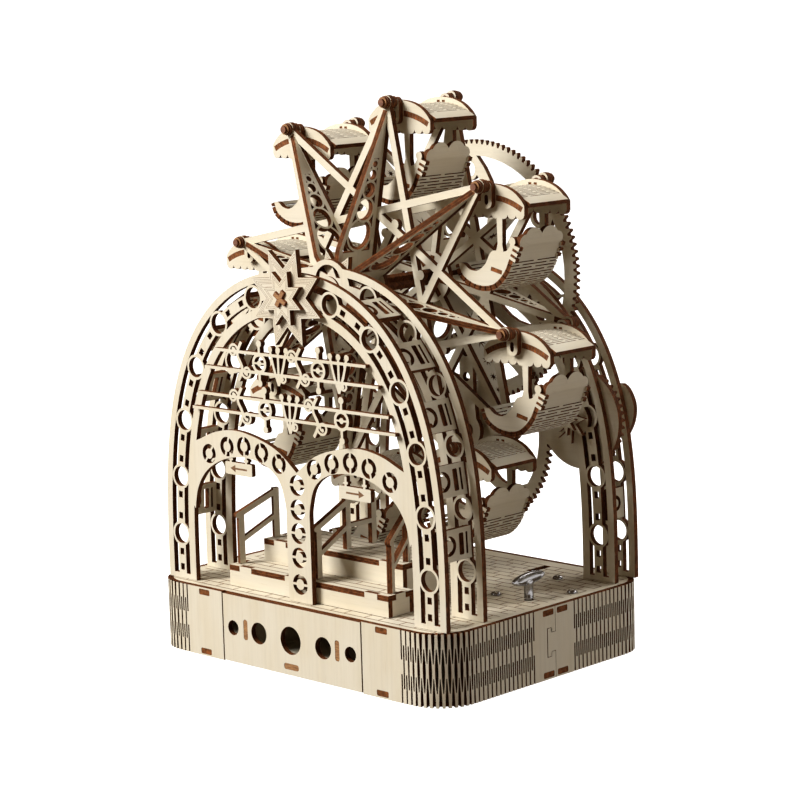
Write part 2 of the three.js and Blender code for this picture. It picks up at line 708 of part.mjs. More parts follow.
// ---------------------------------------------------------------- gears
function gearShape(x, z, teeth, toothAngle) {
  const pitch = teeth * GEAR.module / 2;
  const root = pitch - GEAR.dedendum;
  const outer = pitch + GEAR.addendum;
  const halfPitch = 0.205 * Math.PI * GEAR.module;
  const lean = Math.tan(THREE.MathUtils.degToRad(20));
  const points = [];
  for (let i = 0; i < teeth; i++) {
    const middle = toothAngle + 2 * Math.PI * i / teeth;
    const foot = (halfPitch + lean * GEAR.dedendum * 0.7) / root;
    for (const [radius, turn] of [[root, -foot], [outer, 0], [root, foot]]) {
      const angle = middle + turn;
      points.push([x + radius * Math.cos(angle), z + radius * Math.sin(angle)]);
    }
  }
  return shapeOf(points);
}

// Openings between curved spokes, so that the spokes sweep like a pinwheel.
function swirlWindows(x, z, count, inner, outer, sweep, spoke) {
  const windows = [];
  const steps = 3;
  for (let i = 0; i < count; i++) {
    const start = 2 * Math.PI * i / count;
    const near = [];
    const far = [];
    for (let j = 0; j <= steps; j++) {
      const radius = inner + (outer - inner) * j / steps;
      const bend = sweep * (j / steps) ** 1.5;
      const gap = spoke / 2 / radius;
      const from = start + bend + gap;
      const to = start + bend + 2 * Math.PI / count - gap;
      near.push([x + radius * Math.cos(from), z + radius * Math.sin(from)]);
      far.push([x + radius * Math.cos(to), z + radius * Math.sin(to)]);
    }
    const middle = start + sweep + Math.PI / count;
    const crown = [x + outer * Math.cos(middle), z + outer * Math.sin(middle)];
    windows.push(pathOf([...near, crown, ...far.reverse()].reverse()));
  }
  return windows;
}

function gears() {
  const wheelGear = gearShape(0, AXLE.z, TEETH.wheel, -Math.PI / 2);
  wheelGear.holes.push(...swirlWindows(0, AXLE.z, 6, 14, 63, 0.6, 7));
  const wheelSolid = toSolid(uprightSheet(wheelGear, Y_WHEEL_GEAR));
  const slot = toSolid(uprightSheet(shapeOf(crossHole()), Y_WHEEL_GEAR - 1, PLY + 2));
  addNode('wheel_gear', wheelSolid.subtract(slot));

  const middle = gearShape(0, MIDDLE_Z, TEETH.middle, CRANK_ANGLE);
  middle.holes.push(...swirlWindows(0, MIDDLE_Z, 5, 21, 46, 0.5, 7));
  const pinionPhase = Math.PI / 2 + Math.PI / TEETH.pinion;
  const pinion = gearShape(0, MIDDLE_Z, TEETH.pinion, pinionPhase);
  addNode('middle_gear', join([
    uprightSheet(middle, Y_MIDDLE_GEAR),
    uprightSheet(pinion, Y_MIDDLE_GEAR + 2, Y_WHEEL_GEAR + PLY - Y_MIDDLE_GEAR - 2),
    rodAlongY(0, MIDDLE_Z, SHAFT.middle, Y_REAR_FRONT - 1, Y_REAR_BACK + PLY + 1, 14),
  ]));

  const phase = CRANK_ANGLE + Math.PI + Math.PI / TEETH.crank;
  const crankGear = gearShape(CRANK.x, CRANK.z, TEETH.crank, phase);
  crankGear.holes.push(circleHole(CRANK.x, CRANK.z, 4.2));
  addNode('crank_gear', uprightSheet(crankGear, Y_MIDDLE_GEAR));
}

// ---------------------------------------------------------------- crank
function crank() {
  addNode('crank_shaft', rodAlongY(CRANK.x, CRANK.z, SHAFT.crank, CRANK.front, CRANK.back, 14));
  const disc = circle(CRANK.x, CRANK.z, CRANK.disc);
  disc.holes.push(circleHole(CRANK.x, CRANK.z, 4.2));
  addNode('crank_disc', uprightSheet(disc, Y_REAR_FRONT + PLY + 0.5, PLY, 9));

  const hub = circle(0, 0, 8);
  hub.holes.push(circleHole(0, 0, 4.2));
  const arms = [uprightSheet(hub, 0)];
  for (const turn of [0, Math.PI]) {
    const arm = new THREE.Shape();
    arm.moveTo(0, 5.5);
    arm.quadraticCurveTo(10, 9, 12, 17);
    arm.absarc(0, 0, CRANK.handle, Math.PI * 0.3, -Math.PI * 0.06, true);
    arm.lineTo(CRANK.handle - 6, -3);
    arm.absarc(0, 0, CRANK.handle - 6, 0, Math.PI * 0.14, false);
    arm.quadraticCurveTo(11, 2, 5.5, 0);
    const sheet = uprightSheet(arm, 0, PLY, 3);
    arms.push(sheet.rotateY(turn));
  }
  arms[2].translate(0, PLY, 0);
  const bore = toSolid(rodAlongY(0, 0, 4.2, -1, PLY + 1));
  const swirl = join(arms).subtract(bore);
  const handle = toGeometry(swirl);
  handle.translate(CRANK.x, Y_REAR_BACK + PLY + 1.5, CRANK.z);
  addNode('crank_handle', handle);
}

// ---------------------------------------------------------------- gondolas
// The car's outer curve from the prow, under the seat and up the back, about the pivot.
const HULL = [
  [-22.8, -41.2], [-20, -47], [-12.5, -50.8], [-4, -51.8], [3, -49.6], [9.4, -42.8], [15.6, -29.6],
];

function offsetLine(points, distance) {
  return points.map((point, i) => {
    const before = points[Math.max(i - 1, 0)];
    const after = points[Math.min(i + 1, points.length - 1)];
    const dx = after[0] - before[0];
    const dz = after[1] - before[1];
    const length = Math.hypot(dx, dz);
    return [point[0] + dz / length * distance, point[1] - dx / length * distance];
  });
}

function carSide() {
  const inside = [
    [14.6, -27], [8, -33.2], [8, -15.5], [22.4, -16], [22.8, -9.6], [16.5, -3.2], [6, 0.4],
    [-5, 0.4], [-15.5, -3.2], [-22, -9.6], [-21.6, -15.5], [3.8, -15.5], [3.8, -33.2],
    [-1, -33.6], [-4.4, -41], [-10, -44.9], [-16, -43.8], [-20, -40.8],
  ];
  return shapeOf([...HULL, ...inside]);
}

function cabin(index) {
  const [x, z] = tipPoint(index);
  const front = CABIN.front;
  const back = front + CABIN.depth;
  const skin = 2.6;
  const sheetOuter = offsetLine(HULL, skin);
  const sheetInner = offsetLine(HULL, -0.2).reverse();
  const seat = shapeOf([...sheetOuter, [17.9, -20.5], [15.4, -20.5], ...sheetInner]);
  const pin = (y0, y1) => toSolid(rodAlongY(0, 0, CABIN.pin, y0, y1, 8));
  const bracket = rectangle(-4, 4, -13, 0.2);
  const solids = [
    toSolid(uprightSheet(carSide(), front)),
    toSolid(uprightSheet(carSide(), back - PLY)),
    toSolid(uprightSheet(seat, front, CABIN.depth)),
    toSolid(uprightSheet(bracket, front - PLY, PLY + 0.2)),
    toSolid(uprightSheet(bracket, back - 0.2, PLY + 0.2)),
    pin(Y_FRAME_FRONT - 1.5, front),
    pin(back, Y_FRAME_REAR + PLY + 1.5),
  ];
  const car = toGeometry(solids.reduce((sum, next) => sum.add(next)));
  addNode(`cabin_${index + 1}_car`, car.translate(x, 0, z));

  const segments = 8;
  const reach = Math.asin(CANOPY.half / CANOPY.radius);
  const centre = CANOPY.crown - CANOPY.radius;
  const lower = CANOPY.radius - CANOPY.sheet;
  const outside = [];
  const lining = [];
  for (let i = 0; i <= segments; i++) {
    const angle = reach * (1 - 2 * i / segments);
    const sin = Math.sin(angle);
    const cos = Math.cos(angle);
    outside.push([CANOPY.x + CANOPY.radius * sin, centre + CANOPY.radius * cos]);
    lining.push([CANOPY.x + lower * sin, centre + lower * cos]);
  }
  const arch = shapeOf([...outside, ...lining.reverse()]);
  const length = CABIN.depth - 2 * (PLY + GAP);
  const canopy = uprightSheet(arch, front + PLY + GAP, length);
  addNode(`cabin_${index + 1}_canopy`, canopy.translate(x, 0, z));
}

// ---------------------------------------------------------------- assembly
walls();
basePlates();
drawer();
movement();
windingKey();
frontArch();
rearArch();
spacers();
sign();
steps();
railings();
axle();
starCap();
wheelFrame('wheel_front_frame', Y_FRAME_FRONT, SPIRE.front, -1);
wheelFrame('wheel_rear_frame', Y_FRAME_REAR, SPIRE.rear, 1);
gears();
crank();
for (let index = 0; index < WHEEL.cabins; index++) {
  cabin(index);
}

export default model;
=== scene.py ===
"""Looks for the plywood Ferris wheel music box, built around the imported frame.

Lengths are in millimetres in this file and become metres where a mesh is made.
X is right, Y is back, Z is up; the origin is the middle of the base's underside.
"""
import hashlib
import math

import bmesh
import bpy
import numpy as np
from mathutils import Matrix, Vector
from mathutils.geometry import delaunay_2d_cdt


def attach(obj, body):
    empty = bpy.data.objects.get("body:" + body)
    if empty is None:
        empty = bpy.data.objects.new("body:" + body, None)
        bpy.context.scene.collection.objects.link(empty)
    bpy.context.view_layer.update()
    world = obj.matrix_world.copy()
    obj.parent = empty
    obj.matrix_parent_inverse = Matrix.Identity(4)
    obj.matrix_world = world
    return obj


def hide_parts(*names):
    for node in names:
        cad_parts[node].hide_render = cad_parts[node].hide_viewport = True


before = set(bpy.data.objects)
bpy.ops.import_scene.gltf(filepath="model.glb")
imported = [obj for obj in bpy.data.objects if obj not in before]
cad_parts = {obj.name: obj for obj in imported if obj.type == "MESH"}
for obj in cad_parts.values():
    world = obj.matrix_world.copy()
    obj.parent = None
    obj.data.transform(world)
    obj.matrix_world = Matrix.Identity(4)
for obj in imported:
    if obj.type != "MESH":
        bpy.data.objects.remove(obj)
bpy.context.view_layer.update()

MM = 0.001
TAU = 2 * math.pi
PLY, BENT = 3.0, 2.6                    # thickness of a flat sheet, and of a gondola's bent sheet
TAB_GAP, SHEET_GAP = 0.15, 0.3          # round a tab's end in its hole, and between two sheets
LINE = 0.75                             # width of an engraved line on a floor
FACE, EDGE, MARK, DARK, AMBER = 0, 1, 2, 3, 4       # material slots of every plywood piece
ADD, CUT = True, False                  # what an outline does to a sheet

# The base: half its width and depth, its height and corner radius; half of the drawer's front
# and of the opening for it.
BASE_X, BASE_Y, DECK, CORNER = 110.0, 82.0, 38.0, 21.0
DRAWER_HALF, OPENING = 52.1, 53.0

# The arches: a superellipse along the middle of a band, with rings in the band on both sides.
ARCH_HALF, ARCH_RISE, ARCH_EX, ARCH_EZ, BAND = 93.5, 164.0, 2.15, 3.2, 22.0
RING_HOLE, RING_OUT, RING_FIRST, RING_STEP, RING_COUNT = 5.2, 6.5, 25.3, 32.1, 6
Y_GATE, Y_ARCH_BACK, Y_REAR_FRONT, Y_REAR_BACK = -73.5, -46.0, 59.0, 76.0

# The wheel: the pivots' distance from the axle, the first one's angle and their number. Angles
# are in degrees.
AXLE_Z, AXLE_BORE, PIN_BORE = 200.0, 5.0, 2.45
TIP_R, PHASE, CABINS = 99.2, 124.2, 8
CABIN_STEP = 360 / CABINS
CROSS_TURN, STAR_TURN = PHASE - 90 + CABIN_STEP / 2, 26.0
Y_FRAME_FRONT, Y_FRAME_REAR = -17.6, 32.0

# The gears: their teeth, and where the middle gear and the crank stand. Y_GEARS is the front of
# both, and SPOKE the width of a gear's spoke.
MODULE = 1.25
T_WHEEL, T_PINION, T_MIDDLE, T_CRANK = 114, 28, 86, 41
MIDDLE_Z = AXLE_Z - (T_WHEEL + T_PINION) * MODULE / 2
CRANK_ANGLE = math.radians(10)
CRANK_REACH = (T_MIDDLE + T_CRANK) * MODULE / 2
CRANK_X = CRANK_REACH * math.cos(CRANK_ANGLE)
CRANK_Z = MIDDLE_Z + CRANK_REACH * math.sin(CRANK_ANGLE)
Y_GEARS, SPOKE, CRANK_DISC = 66, 6.4, 27.5

# A gondola: where its end plates stand, and its canopy's arc about the pivot.
CABIN_FRONT, CABIN_BACK = -9.0, 27.0
CANOPY_X, CANOPY_TOP, CANOPY_R, CANOPY_HALF = 0.4, -4.6, 43.0, 22.4


# ------------------------------------------------------------------ plane shapes
def polar(x, y, r, a):
    """The point at distance r and angle a from (x, y)."""
    return (x + r * math.cos(a), y + r * math.sin(a))


def circle(x, y, r, n=28):
    return [polar(x, y, r, TAU * i / n) for i in range(n)]


def arc(x, y, r, a0, a1, n):
    return [polar(x, y, r, a0 + (a1 - a0) * i / n) for i in range(n + 1)]


def rect(x0, x1, y0, y1):
    return [(x0, y0), (x1, y0), (x1, y1), (x0, y1)]


def round_rect(x0, x1, y0, y1, r, n):
    """A rectangle with corners of radius r, each in n steps."""
    q = math.pi / 2
    return (arc(x1 - r, y0 + r, r, -q, 0, n) + arc(x1 - r, y1 - r, r, 0, q, n)
            + arc(x0 + r, y1 - r, r, q, 2 * q, n) + arc(x0 + r, y0 + r, r, 2 * q, 3 * q, n))


def spin(points, degrees, x=0.0, y=0.0):
    """The points turned about the origin, then moved to (x, y)."""
    c, s = math.cos(math.radians(degrees)), math.sin(math.radians(degrees))
    return [(x + px * c - py * s, y + px * s + py * c) for px, py in points]


def flip_x(points):
    return [(-px, py) for px, py in points]


def smooth(points, steps):
    """A Catmull-Rom line through the points."""
    last = len(points) - 1
    out = []
    for i in range(last):
        near = [points[min(max(k, 0), last)] for k in (i - 1, i, i + 1, i + 2)]
        for j in range(steps):
            t = j / steps
            out.append(tuple(
                0.5 * (2 * b + (c - a) * t + (2 * a - 5 * b + 4 * c - d) * t * t
                       + (3 * b - a - 3 * c + d) * t ** 3)
                for a, b, c, d in zip(*near)))
    return out + [tuple(points[-1])]


def offset_line(points, distance):
    """The line moved sideways: + is to the right of its direction. Distance may be one per point."""
    out = []
    for i, (x, y) in enumerate(points):
        a, b = points[max(i - 1, 0)], points[min(i + 1, len(points) - 1)]
        dx, dy = b[0] - a[0], b[1] - a[1]
        size = math.hypot(dx, dy) or 1
        d = distance[i] if hasattr(distance, "__len__") else distance
        out.append((x + dy / size * d, y - dx / size * d))
    return out


def stroke(points, width):
    """A strip of the given width along a line."""
    half = [w / 2 for w in width] if hasattr(width, "__len__") else width / 2
    minus = [-h for h in half] if hasattr(half, "__len__") else -half
    return offset_line(points, half) + offset_line(points, minus)[::-1]


def bar(a, b, width):
    return stroke([a, b], width)


def star(points, outer, inner, turn, x, y):
    """A star's outline; its first point is turned by that many degrees from +x."""
    return [polar(x, y, inner if i % 2 else outer, math.radians(turn) + math.pi * i / points)
            for i in range(2 * points)]


def area(points):
    """The area inside an outline, negative when it runs clockwise."""
    return sum(a[0] * b[1] - b[0] * a[1]
               for a, b in zip(points, points[1:] + points[:1])) / 2


# ------------------------------------------------------------------ places for a sheet
def upright(y):
    """Across the model: u is X, v is Z, the face w = 0 looks to the front, at Y = y."""
    return lambda u, v, w: (u, y + w, v)


def upright_back(y):
    """Across the model with its face w = 0 looking to the rear, at Y = y."""
    return lambda u, v, w: (u, y - w, v)


def lying(z):
    """Flat, its face w = 0 looking up, at height z."""
    return lambda u, v, w: (u, v, z - w)


def sideways(x):
    """Along the model: u is Y, v is Z, the face w = 0 looks right, at X = x."""
    return lambda u, v, w: (x - w, u, v)


def radial(degrees):
    """Through the axle: u is the distance from the axle, v is Y, w is centred on the ray."""
    c, s = math.cos(math.radians(degrees)), math.sin(math.radians(degrees))
    return lambda u, v, w: (u * c + (w - PLY / 2) * s, v, AXLE_Z + u * s - (w - PLY / 2) * c)


class Path:
    """A line in a plane, measured by length, for bending a sheet along it."""

    def __init__(self, points):
        self.p = np.array(points, float)
        step = np.hypot(*np.diff(self.p, axis=0).T)
        self.s = np.concatenate([[0], np.cumsum(step)])
        tangent = np.gradient(self.p, self.s, axis=0)
        self.t = tangent / np.hypot(*tangent.T)[:, None]
        self.length = self.s[-1]

    def at(self, s, offset=0.0):
        """The point at length s, moved by the offset to the right of the path."""
        x = np.interp(s, self.s, self.p[:, 0])
        y = np.interp(s, self.s, self.p[:, 1])
        tx = np.interp(s, self.s, self.t[:, 0])
        ty = np.interp(s, self.s, self.t[:, 1])
        size = math.hypot(tx, ty)
        return (x + ty / size * offset, y - tx / size * offset)


def bent_round_y(path, outside=0.0):
    """Bent round a Y axis: u runs along the path in X and Z, v is Y, and the face w = 0 lies
    that far to the right of the path."""
    def place(u, v, w):
        a, b = path.at(u, outside - w)
        return (a, v, b)
    return place


def bent_wall(path, start=0.0, side=1):
    """Bent round a Z axis: u runs along the path in X and Y, v is Z, and w = 0 is the outside,
    with the sheet on the path's left (side 1) or right (side -1)."""
    def place(u, v, w):
        a, b = path.at(u + start, -side * w)
        return (a, b, v)
    return place


# ------------------------------------------------------------------ sheets into meshes
class Build:
    """Collects plywood sheets, and makes one object of them."""

    def __init__(self):
        self.verts, self.faces, self.mats = [], [], []
        self.flat, self.ply = [], []

    def sheet(self, ops, place, thick=PLY, marks=(), tabs=(), creases=(), grain=0,
              all_edge=False, w0=0.0, tab_slot=None):
        """ops: (ADD, outline) adds and (CUT, outline) cuts, the last one counts.
        marks: (outline, slot) painted on the face w = 0. tabs: outlines of other sheets' tab
        ends that fill a hole flush. creases: lines that let the sheet bend."""
        ops = list(ops) + [(CUT, tab) for tab in tabs]
        verts, polys, edges = [], [], []

        def add(points):
            if area(points) < 0:
                points = points[::-1]
            start = len(verts)
            verts.extend(Vector(p) for p in points)
            polys.append(list(range(start, start + len(points))))

        for _, points in ops:
            add(list(points))
        for points, _ in marks:
            add(list(points))
        for a, b in creases:
            edges.append((len(verts), len(verts) + 1))
            verts.extend((Vector(a), Vector(b)))
        out_v, _, out_f, _, _, ids = delaunay_2d_cdt(verts, edges, polys, 0, 1e-4)
        kept, slots = [], []
        for tri, owners in zip(out_f, ids):
            if not owners:
                continue
            inside = False
            slot = FACE
            for owner in sorted(owners):
                if owner < len(ops):
                    inside = ops[owner][0]
                else:
                    slot = marks[owner - len(ops)][1]
            if inside:
                kept.append(tri)
                slots.append(slot)
        used = sorted({i for tri in kept for i in tri})
        index = {v: k for k, v in enumerate(used)}
        base = len(self.verts)
        n = len(used)
        for w in (w0, w0 + thick):
            for v in used:
                u, t = out_v[v]
                self.verts.append(place(u, t, w))
                self.flat.append((u, t, w) if grain == 0 else (t, u, w))
                self.ply.append((w - w0) / thick)
        border = {}
        for tri, slot in zip(kept, slots):
            k = [index[v] for v in tri]
            self.faces.append([base + i for i in k])
            self.mats.append(EDGE if all_edge else slot)
            self.faces.append([base + n + i for i in reversed(k)])
            self.mats.append(EDGE if all_edge else FACE)
            for a, b in zip(k, k[1:] + k[:1]):
                if (b, a) in border:
                    del border[(b, a)]
                else:
                    border[(a, b)] = True
        for a, b in border:
            self.faces.append([base + b, base + a, base + n + a, base + n + b])
            self.mats.append(EDGE)
        for tab in tabs:
            middle = np.mean(np.array(tab), axis=0)
            inner = []
            for p in tab:
                d = np.array(p) - middle
                inner.append(tuple(middle + d * (1 - TAB_GAP / max(np.hypot(*d), 1))))
            face = [(inner, tab_slot)] if tab_slot is not None else []
            self.sheet([(ADD, inner)], place, thick=thick - 2 * TAB_GAP, w0=w0 + TAB_GAP,
                       marks=face, all_edge=tab_slot is None)
        return self

    def disc(self, x, z, r, y0, y1, slot, n=24):
        """A round slice on a Y axis, with its front in the slot's material."""
        return self.sheet([(ADD, circle(x, z, r, n))], upright(y0), thick=y1 - y0,
                          marks=[(circle(x, z, r + 1, n), slot)])

    def piece(self, name, body, replaces=(), at=None):
        """Makes the object, and gives each point its place in the grain and in the plies."""
        mesh = new_mesh(name, self.verts, self.faces)
        for material in ply_materials:
            mesh.materials.append(material)
        mesh.polygons.foreach_set("material_index", self.mats)
        # Every piece is cut from another part of the grain, which its name picks.
        seed = int(hashlib.sha256(name.encode()).hexdigest()[:6], 16)
        shift_by = ((seed % 977) * 0.37, (seed % 613) * 0.53, 0)
        flat = mesh.attributes.new("flat", "FLOAT_VECTOR", "POINT")
        flat.data.foreach_set("vector", (np.array(self.flat) + shift_by).astype(np.float32).ravel())
        ply = mesh.attributes.new("ply", "FLOAT", "POINT")
        ply.data.foreach_set("value", np.array(self.ply, np.float32))
        turn_outwards(mesh)
        return put(mesh, name, body, replaces, at=at)


def new_mesh(name, verts, faces):
    mesh = bpy.data.meshes.new(name)
    mesh.from_pydata([(x * MM, y * MM, z * MM) for x, y, z in verts], [], faces)
    return mesh


def turn_outwards(mesh, merge_flat=False):
    """Turns all faces outwards, and can merge those that lie in one plane."""
    bm = bmesh.new()
    bm.from_mesh(mesh)
    bmesh.ops.recalc_face_normals(bm, faces=bm.faces)
    if merge_flat:
        bmesh.ops.dissolve_limit(bm, angle_limit=0.01, verts=bm.verts, edges=bm.edges)
    bm.to_mesh(mesh)
    bm.free()


def put(mesh, name, body, replaces, at=None):
    """A mesh as a piece of the model, on a body, in place of the named CAD nodes."""
    piece = bpy.data.objects.new(name, mesh)
    bpy.context.scene.collection.objects.link(piece)
    if at is not None:
        piece.location = Vector(at) * MM
    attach(piece, body)
    if replaces:
        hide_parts(*replaces)
    return piece


# ------------------------------------------------------------------ materials
def node(tree, kind, **values):
    """A new node with values set on its inputs."""
    n = tree.nodes.new(kind)
    for name, value in values.items():
        n.inputs[name].default_value = value
    return n


def ramp(tree, source, stops):
    """Colours along a value, from (place, colour) stops."""
    n = tree.nodes.new("ShaderNodeValToRGB")
    elements = n.color_ramp.elements
    while len(elements) < len(stops):
        elements.new(0.5)
    for element, (place, colour) in zip(elements, stops):
        element.position = place
        element.color = (*colour, 1)
    tree.links.new(source, n.inputs["Fac"])
    return n.outputs["Color"]


def start_material(name):
    """A new material, its node tree and its shader."""
    material = bpy.data.materials.new(name)
    material.use_nodes = True
    tree = material.node_tree
    shader = tree.nodes["Principled BSDF"]
    return material, tree, shader


def multiply(tree, a, b, share=1.0):
    """The product of two colours, or a share of the way to it."""
    n = tree.nodes.new("ShaderNodeMix")
    n.data_type = "RGBA"
    n.blend_type = "MULTIPLY"
    n.inputs[0].default_value = share
    tree.links.new(a, n.inputs[6])
    tree.links.new(b, n.inputs[7])
    return n.outputs[2]


def noise(tree, vector, stretch, detail, roughness=0.6):
    """Noise over the coordinates, each first multiplied by its number in stretch."""
    place = tree.nodes.new("ShaderNodeMapping")
    place.inputs["Scale"].default_value = stretch
    tree.links.new(vector, place.inputs["Vector"])
    n = node(tree, "ShaderNodeTexNoise", Scale=1.0, Detail=detail, Roughness=roughness)
    tree.links.new(place.outputs["Vector"], n.inputs["Vector"])
    return n.outputs["Fac"]


def bump(tree, shader, height, strength, distance=0.0002):
    n = node(tree, "ShaderNodeBump", Strength=strength, Distance=distance)
    tree.links.new(height, n.inputs["Height"])
    tree.links.new(n.outputs["Normal"], shader.inputs["Normal"])


def sheet_value(tree, name, output="Vector"):
    """A value kept with each sheet: its flat coordinates, or its depth through the plies."""
    n = tree.nodes.new("ShaderNodeAttribute")
    n.attribute_name = name
    return n.outputs[output]


def paint(tree, shader, colour, roughness, specular=0.5):
    """Sets a wood's colour, roughness and gloss."""
    tree.links.new(colour, shader.inputs["Base Color"])
    shader.inputs["Roughness"].default_value = roughness
    shader.inputs["Specular IOR Level"].default_value = specular


def wood_face():
    """Rotary-cut basswood: long faint grain, pores, and a slow change of tone."""
    material, tree, shader = start_material("basswood_face")
    tint = (0.645, 0.596, 0.487)
    place = sheet_value(tree, "flat")
    streak = noise(tree, place, (0.012, 0.55, 0.55), 5)
    tone = ramp(tree, streak, [(0.3, [c * 0.95 for c in tint]), (0.5, tint),
                               (0.72, [min(c * 1.03, 1) for c in tint])])
    cloud = noise(tree, place, (0.02, 0.05, 0.05), 3, 0.5)
    warm = ramp(tree, cloud, [(0.3, (0.95, 0.92, 0.86)), (0.6, (1, 1, 1))])
    pores = noise(tree, place, (0.09, 2.4, 2.4), 2, 0.5)
    dots = ramp(tree, pores, [(0.27, (0.84, 0.77, 0.68)), (0.36, (1, 1, 1))])
    paint(tree, shader, multiply(tree, multiply(tree, tone, warm), dots, 0.5), 0.62, 0.3)
    bump(tree, shader, streak, 0.15)
    return material


def burnt_edge():
    """A laser-cut edge: browned veneers with the darker glue lines between them."""
    material, tree, shader = start_material("laser_burnt_edge")
    outside, by_glue, glue = (0.20, 0.080, 0.030), (0.12, 0.044, 0.017), (0.032, 0.012, 0.006)
    layers = ramp(tree, sheet_value(tree, "ply", "Fac"), [
        (0.0, outside), (0.26, by_glue), (0.31, glue), (0.37, (0.165, 0.064, 0.024)),
        (0.63, (0.14, 0.054, 0.020)), (0.69, glue), (0.74, by_glue), (1.0, outside)])
    scorch = noise(tree, sheet_value(tree, "flat"), (0.35, 0.35, 0.9), 4, 0.65)
    shade = ramp(tree, scorch, [(0.3, (0.35, 0.32, 0.30)), (0.55, (1, 1, 1)),
                                (0.75, (1.9, 1.6, 1.35))])
    paint(tree, shader, multiply(tree, layers, shade), 0.75, 0.1)
    bump(tree, shader, scorch, 0.4)
    return material


def one_tone(name, stretch, detail, stops, roughness, relief=0.0):
    """Wood whose colour follows a single noise."""
    material, tree, shader = start_material(name)
    tone = noise(tree, sheet_value(tree, "flat"), stretch, detail)
    paint(tree, shader, ramp(tree, tone, stops), roughness)
    if relief:
        bump(tree, shader, tone, relief)
    return material


def metal(name, colour, roughness, brushed):
    """A brushed metal; brushed is how finely its marks lie along each axis."""
    material, tree, shader = start_material(name)
    marks = noise(tree, tree.nodes.new("ShaderNodeTexCoord").outputs["Object"], brushed, 4)
    tone = ramp(tree, marks, [(0.3, [c * 0.75 for c in colour]), (0.7, colour)])
    tree.links.new(tone, shader.inputs["Base Color"])
    shader.inputs["Metallic"].default_value = 1.0
    rough = tree.nodes.new("ShaderNodeMapRange")
    rough.inputs["To Min"].default_value = roughness * 0.8
    rough.inputs["To Max"].default_value = roughness * 1.3
    tree.links.new(marks, rough.inputs["Value"])
    tree.links.new(rough.outputs["Result"], shader.inputs["Roughness"])
    bump(tree, shader, marks, 0.15, 0.0001)
    return material


ply_materials = [
    wood_face(), burnt_edge(),
    one_tone("laser_engraving", (0.4, 0.4, 0.4), 3,
             [(0.3, (0.115, 0.055, 0.026)), (0.7, (0.21, 0.115, 0.056))], 0.8),
    # Small parts cut close to their edges, browned all over.
    one_tone("toasted_face", (0.1, 0.5, 0.5), 4,
             [(0.3, (0.085, 0.032, 0.017)), (0.7, (0.22, 0.092, 0.045))], 0.65, 0.3),
    # Sawn ends of the plies, warm amber with fine dark veins.
    one_tone("amber_end_grain", (0.25, 3.0, 3.0), 4,
             [(0.3, (0.12, 0.055, 0.022)), (0.5, (0.29, 0.145, 0.057)), (0.75, (0.43, 0.25, 0.10))],
             0.7, 0.3)]
steel = metal("plated_steel", (0.36, 0.35, 0.35), 0.16, (300, 300, 2500))
brass = metal("satin_brass", (0.72, 0.52, 0.22), 0.35, (2500, 300, 300))


# ------------------------------------------------------------------ base
def wall_path(sign):
    """The outside of the base from the drawer opening round a front corner to the side seam."""
    cx, cy = BASE_X - CORNER, BASE_Y - CORNER
    points = [(OPENING + i, -BASE_Y) for i in range(0, int(cx - OPENING), 6)]
    points += arc(cx, -cy, CORNER, -math.pi / 2, 0, 24)
    points += [(BASE_X, -cy + 4 + i) for i in range(0, int(cy), 6)] + [(BASE_X, 6.0)]
    return Path([(sign * x, y) for x, y in points])


def rear_path():
    """The outside of the base from the right seam round the back to the left seam."""
    cx, cy = BASE_X - CORNER, BASE_Y - CORNER
    points = [(BASE_X, 0.0 + i) for i in range(0, int(cy), 6)]
    points += arc(cx, cy, CORNER, 0, math.pi / 2, 24)
    points += [(x, BASE_Y) for x in range(int(cx) - 6, -int(cx), -6)]
    points += arc(-cx, cy, CORNER, math.pi / 2, math.pi, 24)
    points += [(-BASE_X, y) for y in range(int(cy) - 6, 0, -6)] + [(-BASE_X, 0.0)]
    return Path(points)


def slit(s, low, high, end, middle):
    """A slit up the wall; an end beyond the wall's edge stays open at full width."""
    a, b, steps = end / 2, middle / 2, 6
    left, right = [], []
    for i in range(steps + 1):
        t = i / steps
        bulge = math.sin(math.pi * t)
        if low < 0:
            bulge = math.cos(math.pi / 2 * t)
        if high > DECK:
            bulge = math.sin(math.pi / 2 * t)
        half = a + (b - a) * bulge
        left.append((s - half, low + (high - low) * t))
        right.append((s + half, low + (high - low) * t))
    return right + left[::-1]


def hinge_slits(first, last, bend_from, bend_to, pitch=1.63):
    """Rows of slits that let the wall bend; they gape where it does."""
    cuts, creases = [], []
    for column in range(int((last - first) / pitch) + 1):
        s = first + column * pitch
        inside = min(s - bend_from, bend_to - s)
        gape = min(max((inside + 5) / 10, 0), 1)
        end, middle = 0.95 - 0.5 * gape, 0.95 + 0.85 * gape
        spans = [(-1, 0.4 * DECK), (0.6 * DECK, DECK + 1)] if column % 2 == 0 \
            else [(0.2 * DECK, 0.8 * DECK)]
        for low, high in spans:
            cuts.append((CUT, slit(s, low, high, end, middle)))
        creases.append(((s + pitch / 2, -0.5), (s + pitch / 2, DECK + 0.5)))
    return cuts, creases


def wall_tabs(middles, length=8.4):
    """The ends of the deck's and the bottom's tabs, flush in the wall."""
    return [round_rect(s - length / 2, s + length / 2, low, high, 0.5, 1)
            for s in middles for low, high in ((0.9, 4.1), (DECK - 4.1, DECK - 0.9))]


# The tongue of the rear wall that locks into a front wall, as (distance from the seam, height).
TONGUE = [(0, 24.5), (-3.0, 24.5), (-3.0, 27), (-6.2, 27), (-6.2, 12), (-3.0, 12), (-3.0, 14.5),
          (0, 14.5)]


